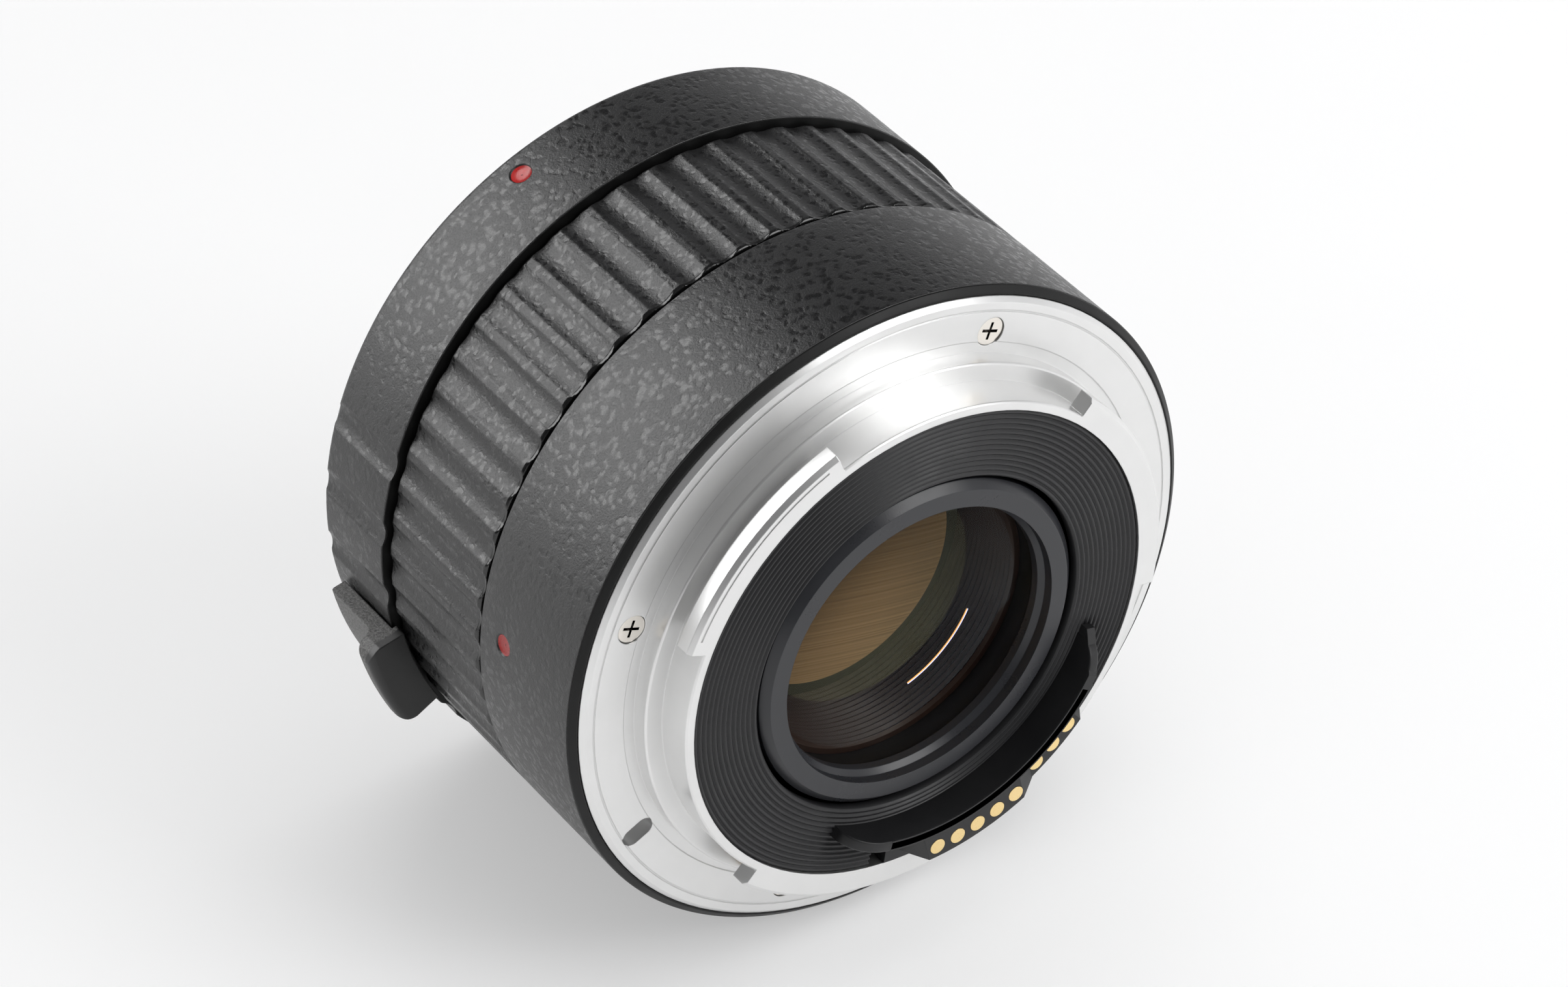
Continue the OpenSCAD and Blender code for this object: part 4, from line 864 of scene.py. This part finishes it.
def make_collar():
    """Front sleeve with flutes beside the lever, a slot for its stem, a recess for the mark, and a thin black
    sheet of painted shade on its rear face.
    """
    mark_z = station_of("front_index_dot")
    seat = LENS_SEAT_R + FIT_GAP
    outline = rounded([
        (seat, COLLAR_Z0, 0),
        (COLLAR_R - COLLAR_CHAMFER, COLLAR_Z0, COLLAR_FACE_ROUND),
        (COLLAR_R, COLLAR_Z0 + COLLAR_CHAMFER, COLLAR_SIDE_ROUND),
        (COLLAR_R, COLLAR_Z1, EDGE_ROUND),
        (COLLAR_IN, COLLAR_Z1, 0),
        (COLLAR_IN, COLLAR_Z0 + FLANGE_T, 0),
        (seat, COLLAR_Z0 + FLANGE_T, 0),
    ])
    outline = with_rows(outline, fine_rows(mark_z), COLLAR_R - EDGE_ROUND)
    clocks = with_fine_clocks(even_clocks(RING_STEPS), TOP_CLOCK, MARK_FINE_HALF, MARK_FINE_STEP)
    clocks = with_fine_clocks(clocks, LEVER_CLOCK, COLLAR_FINE_HALF, COLLAR_FINE_STEP)

    def shape(clock, r, z):
        dip = collar_dip(clock)
        if r > COLLAR_R - HAIRLINE:
            dip = max(dip, mark_dip(clock, z, r, TOP_CLOCK, mark_z))
        return min(r, COLLAR_R - dip)

    shell = turned(outline, clocks, shape)
    collar = piece("front_collar_shell", shell, "body", "barrel_paint", "front_collar")
    carve(collar, arc_block(COLLAR_IN - MM, COLLAR_R + MM, *STEM_SLOT,
                            LEVER_CLOCK - STEM_SLOT_HALF, LEVER_CLOCK + STEM_SLOT_HALF))
    # Painted shade: a thin black sheet on the collar's rear face keeps the groove beside the grip dark
    end = rounded([
        (COLLAR_IN, COLLAR_Z1, 0),
        (COLLAR_R - EDGE_ROUND, COLLAR_Z1, 0),
        (COLLAR_R - COLLAR_SHADE_IN, COLLAR_Z1 + COLLAR_SHADE_T, 0),
        (COLLAR_IN, COLLAR_Z1 + COLLAR_SHADE_T, 0),
    ])

    def shade_sheet_shape(clock, r, z):
        return min(r, COLLAR_R - EDGE_ROUND - collar_dip(clock))

    piece("front_collar_painted_shade", turned(end, clocks, shade_sheet_shape), "body", "chassis_metal")


def make_contact_wall():
    """Curved wall beside the contacts, with rounded shoulders and a softened top edge."""
    made = bmesh.new()
    rings = []
    foot = BAFFLE_TOP - WALL_SINK
    for k in range(WALL_STEPS + 1):
        turn = WALL_HALF * math.sin(math.pi * (k / WALL_STEPS - 0.5))
        past = max(abs(turn) - WALL_FLAT_HALF, 0) / (WALL_HALF - WALL_FLAT_HALF)
        top = WALL_TOP - (WALL_TOP - WALL_END_Z) * (1 - math.sqrt(max(1 - past * past, 0)))
        clock = CONTACT_CLOCK + turn
        corners = [
            (WALL_IN, foot, 0),
            (WALL_OUT, foot, 0),
            (WALL_OUT, top, WALL_ROUND),
            (WALL_IN, top, WALL_ROUND),
        ]
        outline = rounded(corners, WALL_ROUND_STEPS)
        rings.append([made.verts.new(lens_point(p.x, clock, p.y)) for p in outline])
    skin(made, rings)
    piece("contact_wall", made, "body", "contact_plastic")


def make_baffle():
    """Black ring with soft concentric ridges, open where the contact block stands."""
    inner, outer, foot, top = span("rear_baffle")
    outline = [Vector((outer - MM, foot)), Vector((outer, foot))]
    count = BAFFLE_RIDGES * RIDGE_STEPS
    for k in range(count + 1):
        wave = (1 - math.cos(2 * math.pi * k / RIDGE_STEPS)) / 2
        r = outer + (inner - outer) * k / count
        outline.append(Vector((r, top - RIDGE_H * (1 - wave ** RIDGE_CURVE))))
    outline += [Vector((inner, top - BAFFLE_T)), Vector((outer - MM, top - BAFFLE_T))]
    made = turned(outline, even_clocks(BAFFLE_STEPS))
    ring = piece("rear_baffle_ring", made, "body", "baffle_black", "rear_baffle", sharp=RIDGE_SHARP_ANGLE)
    gap = arc_block(BAFFLE_GAP_IN, outer + MM, foot - MM, top + MM,
                    CONTACT_CLOCK - BAFFLE_GAP_HALF, CONTACT_CLOCK + BAFFLE_GAP_HALF)
    carve(ring, gap, sharp=RIDGE_SHARP_ANGLE)


def make_inner_glass():
    """Discs with painted reflections that show through the rear element, and a thin arc that glows as a painted
    glint of a bevelled edge.
    """
    clocks = even_clocks(GLASS_STEPS)
    face = []
    for k in range(CORE_STEPS + 1):
        bulge = CORE_BULGE * (1 - (k / CORE_STEPS) ** 2)
        face.append(Vector((CORE_R * k / CORE_STEPS, CORE_Z + bulge)))
    face += [Vector((CORE_R, CORE_Z - CORE_T)), Vector((0, CORE_Z - CORE_T))]
    piece("rear_core_painted_reflection", turned(face, clocks), "body", "optical_glass", finish=CORE_REFLECTION_FINISH)
    corners = ((0, VEIL_Z), (VEIL_R, VEIL_Z), (VEIL_R, VEIL_Z + VEIL_T), (0, VEIL_Z + VEIL_T))
    veil = turned([Vector(c) for c in corners], clocks)
    piece("rear_veil_painted_reflection", veil, "body", "optical_glass", finish=VEIL_REFLECTION_FINISH)
    edge = arc_block(GLINT_R - GLINT_HALF, GLINT_R + GLINT_HALF, GLINT_Z - GLINT_HALF, GLINT_Z, *GLINT_CLOCKS)
    piece("rear_glass_painted_glint", edge, "body", "optical_glass", finish=GLINT_FINISH)


def keep_near(made, node, reach):
    """Leaves only what lies close to a solid's own axis along Y."""
    low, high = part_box(node)
    x, z = (low[0] + high[0]) / 2, (low[2] + high[2]) / 2
    far = [v for v in made.verts if math.hypot(v.co.x - x, v.co.z - z) > reach]
    bmesh.ops.delete(made, geom=far, context="VERTS")


def make_springs():
    """Coil springs of the joints, each copied from its solid and kept to what lies near the pin in front of it,
    where there is one.
    """
    for joint in frame["joints"]:
        for spring in joint["deforming_nodes"]:
            made = bmesh.new()
            made.from_mesh(frame["nodes"][spring["node"]].data)
            pin = "front_" + joint["child"]
            if pin in frame["nodes"]:
                keep_near(made, pin, SPRING_REACH)
            bmesh.ops.remove_doubles(made, verts=made.verts, dist=SAME_PLACE)
            coil = piece(joint["name"] + "_spring", made, "body", "spring_steel", spring["node"])
            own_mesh(coil)


def make_marks():
    """Red enamel in the recesses of both marks, drawn down a little in the middle."""
    for node, outer_r in (("rear_index_dot", BODY_R), ("front_index_dot", COLLAR_R)):
        clock = clock_of(node)
        z = station_of(node)
        made = bmesh.new()
        floor_r = outer_r - MARK_DEPTH
        rim_r = outer_r - ENAMEL_DROP
        foot_r = span(node)[0]
        centre = made.verts.new(lens_point(floor_r, clock, z))
        rings = []
        for k in range(1, ENAMEL_ROWS + 1):
            reach = MARK_R * k / ENAMEL_ROWS
            height = floor_r + (rim_r - floor_r) * (k / ENAMEL_ROWS) ** ENAMEL_CREEP
            rings.append(mark_ring(made, clock, z, reach, height))
        rings.append(mark_ring(made, clock, z, MARK_R, foot_r))
        last = made.verts.new(lens_point(foot_r, clock, z))
        for i in range(ENAMEL_AROUND):
            n = (i + 1) % ENAMEL_AROUND
            made.faces.new((centre, rings[0][i], rings[0][n]))
            made.faces.new((last, rings[-1][n], rings[-1][i]))
            for ring, next_ring in zip(rings, rings[1:]):
                made.faces.new((ring[i], next_ring[i], next_ring[n], ring[n]))
        bmesh.ops.recalc_face_normals(made, faces=made.faces)
        piece(node + "_enamel", made, "body", "mark_red", node)


def mark_ring(made, clock, z, reach, r):
    """Ring of points about the middle of a mark, at one radius from the optical axis."""
    ring = []
    for i in range(ENAMEL_AROUND):
        a = 2 * math.pi * i / ENAMEL_AROUND
        turn = math.degrees(reach * math.cos(a) / r)
        ring.append(made.verts.new(lens_point(r, clock + turn, z + reach * math.sin(a))))
    return ring


# Stage, lights and camera


def seen_directly(owner):
    """One where the camera sees a surface, also mirrored or through glass, and nought for its dull light."""
    path = add(owner, "LightPath").outputs
    mirrored = math_node(owner, "MAXIMUM", path["Is Camera Ray"], path["Is Glossy Ray"])
    return math_node(owner, "MAXIMUM", mirrored, path["Is Transmission Ray"])


def make_floor():
    """Wide pale floor that the part lies on."""
    made = bmesh.new()
    level = -COLLAR_R - FLOOR_GAP
    signs = ((-1, -1), (1, -1), (1, 1), (-1, 1))
    made.faces.new([made.verts.new((FLOOR_HALF * x, FLOOR_HALF * y, level)) for x, y in signs])
    floor = mesh_object("floor", made)
    mat, into = finish_of("floor_paper", {"Roughness": 0.7, "Specular IOR Level": 0.2,
                                          "Emission Color": (1, 1, 1, 1)})
    plug(mat, tint(mat, noise(mat, FLOOR_CLOUD, detail=3.0), FLOOR_DARK, FLOOR_LIGHT), into["Base Color"])
    plug(mat, math_node(mat, "MULTIPLY", seen_directly(mat), FLOOR_LIFT), into["Emission Strength"])
    floor.data.materials.append(mat)


def make_world():
    """Pale studio that darkens upwards, sooner on the left, with even light for dull surfaces."""
    world = bpy.data.worlds.new("studio")
    scene.world = world
    world.use_nodes = True
    toward = add(world, "SeparateXYZ", Vector=add(world, "TexCoord").outputs["Generated"]).outputs
    left = tint(world, spread(world, toward["Z"], *LEFT_FADE), STUDIO_LEFT, STUDIO_TOP)
    right = tint(world, spread(world, toward["Z"], *RIGHT_FADE), STUDIO_RIGHT, STUDIO_TOP)
    sides = tint(world, spread(world, toward["X"], *SIDE_FADE), left, right)
    both = tint(world, seen_directly(world), [STUDIO_FILL] * 3, sides)
    plug(world, both, world.node_tree.nodes["Background"].inputs["Color"])


def softbox(name, direction, distance, width, height, radiance, roll=0):
    """Rectangular lamp that faces the part, equally bright all over, turned about its own middle."""
    lamp = bpy.data.lights.new(name, "AREA")
    lamp.shape = "RECTANGLE"
    lamp.size = width
    lamp.size_y = height
    lamp.energy = math.pi * width * height * radiance
    obj = scene_object(name, lamp)
    out = Vector(direction).normalized()
    obj.location = out * distance
    obj.rotation_mode = "QUATERNION"
    obj.rotation_quaternion = out.to_track_quat("Z", "Y") @ Quaternion((0, 0, 1), math.radians(roll))
    return obj


def make_lights():
    """Soft light from the right in front, a box at the left behind that only glints, and fill from above."""
    softbox("key", **KEY_LAMP)
    softbox("back_left", **BACK_LAMP).visible_diffuse = False
    softbox("above", **ABOVE_LAMP).visible_glossy = False


def make_camera():
    """Camera at the photograph's angle."""
    data = bpy.data.cameras.new("camera")
    data.sensor_width = SENSOR_WIDTH
    data.lens = FOCAL_LENGTH
    data.clip_start = CAMERA_CLIP
    camera = scene_object("camera", data)
    a = math.radians(CAMERA_AZIMUTH)
    e = math.radians(CAMERA_ELEVATION)
    back = Vector((math.sin(a) * math.cos(e), -math.cos(a) * math.cos(e), math.sin(e)))
    camera.location = CAMERA_AIM + back * CAMERA_DISTANCE
    camera.rotation_mode = "QUATERNION"
    camera.rotation_quaternion = (-back).to_track_quat("-Z", "Y")
    scene.camera = camera


make_camera()
make_world()
make_lights()
make_floor()
dress_solids()
make_barrel()
make_grip()
make_collar()
make_marks()
make_contact_wall()
make_baffle()
make_inner_glass()
make_springs()
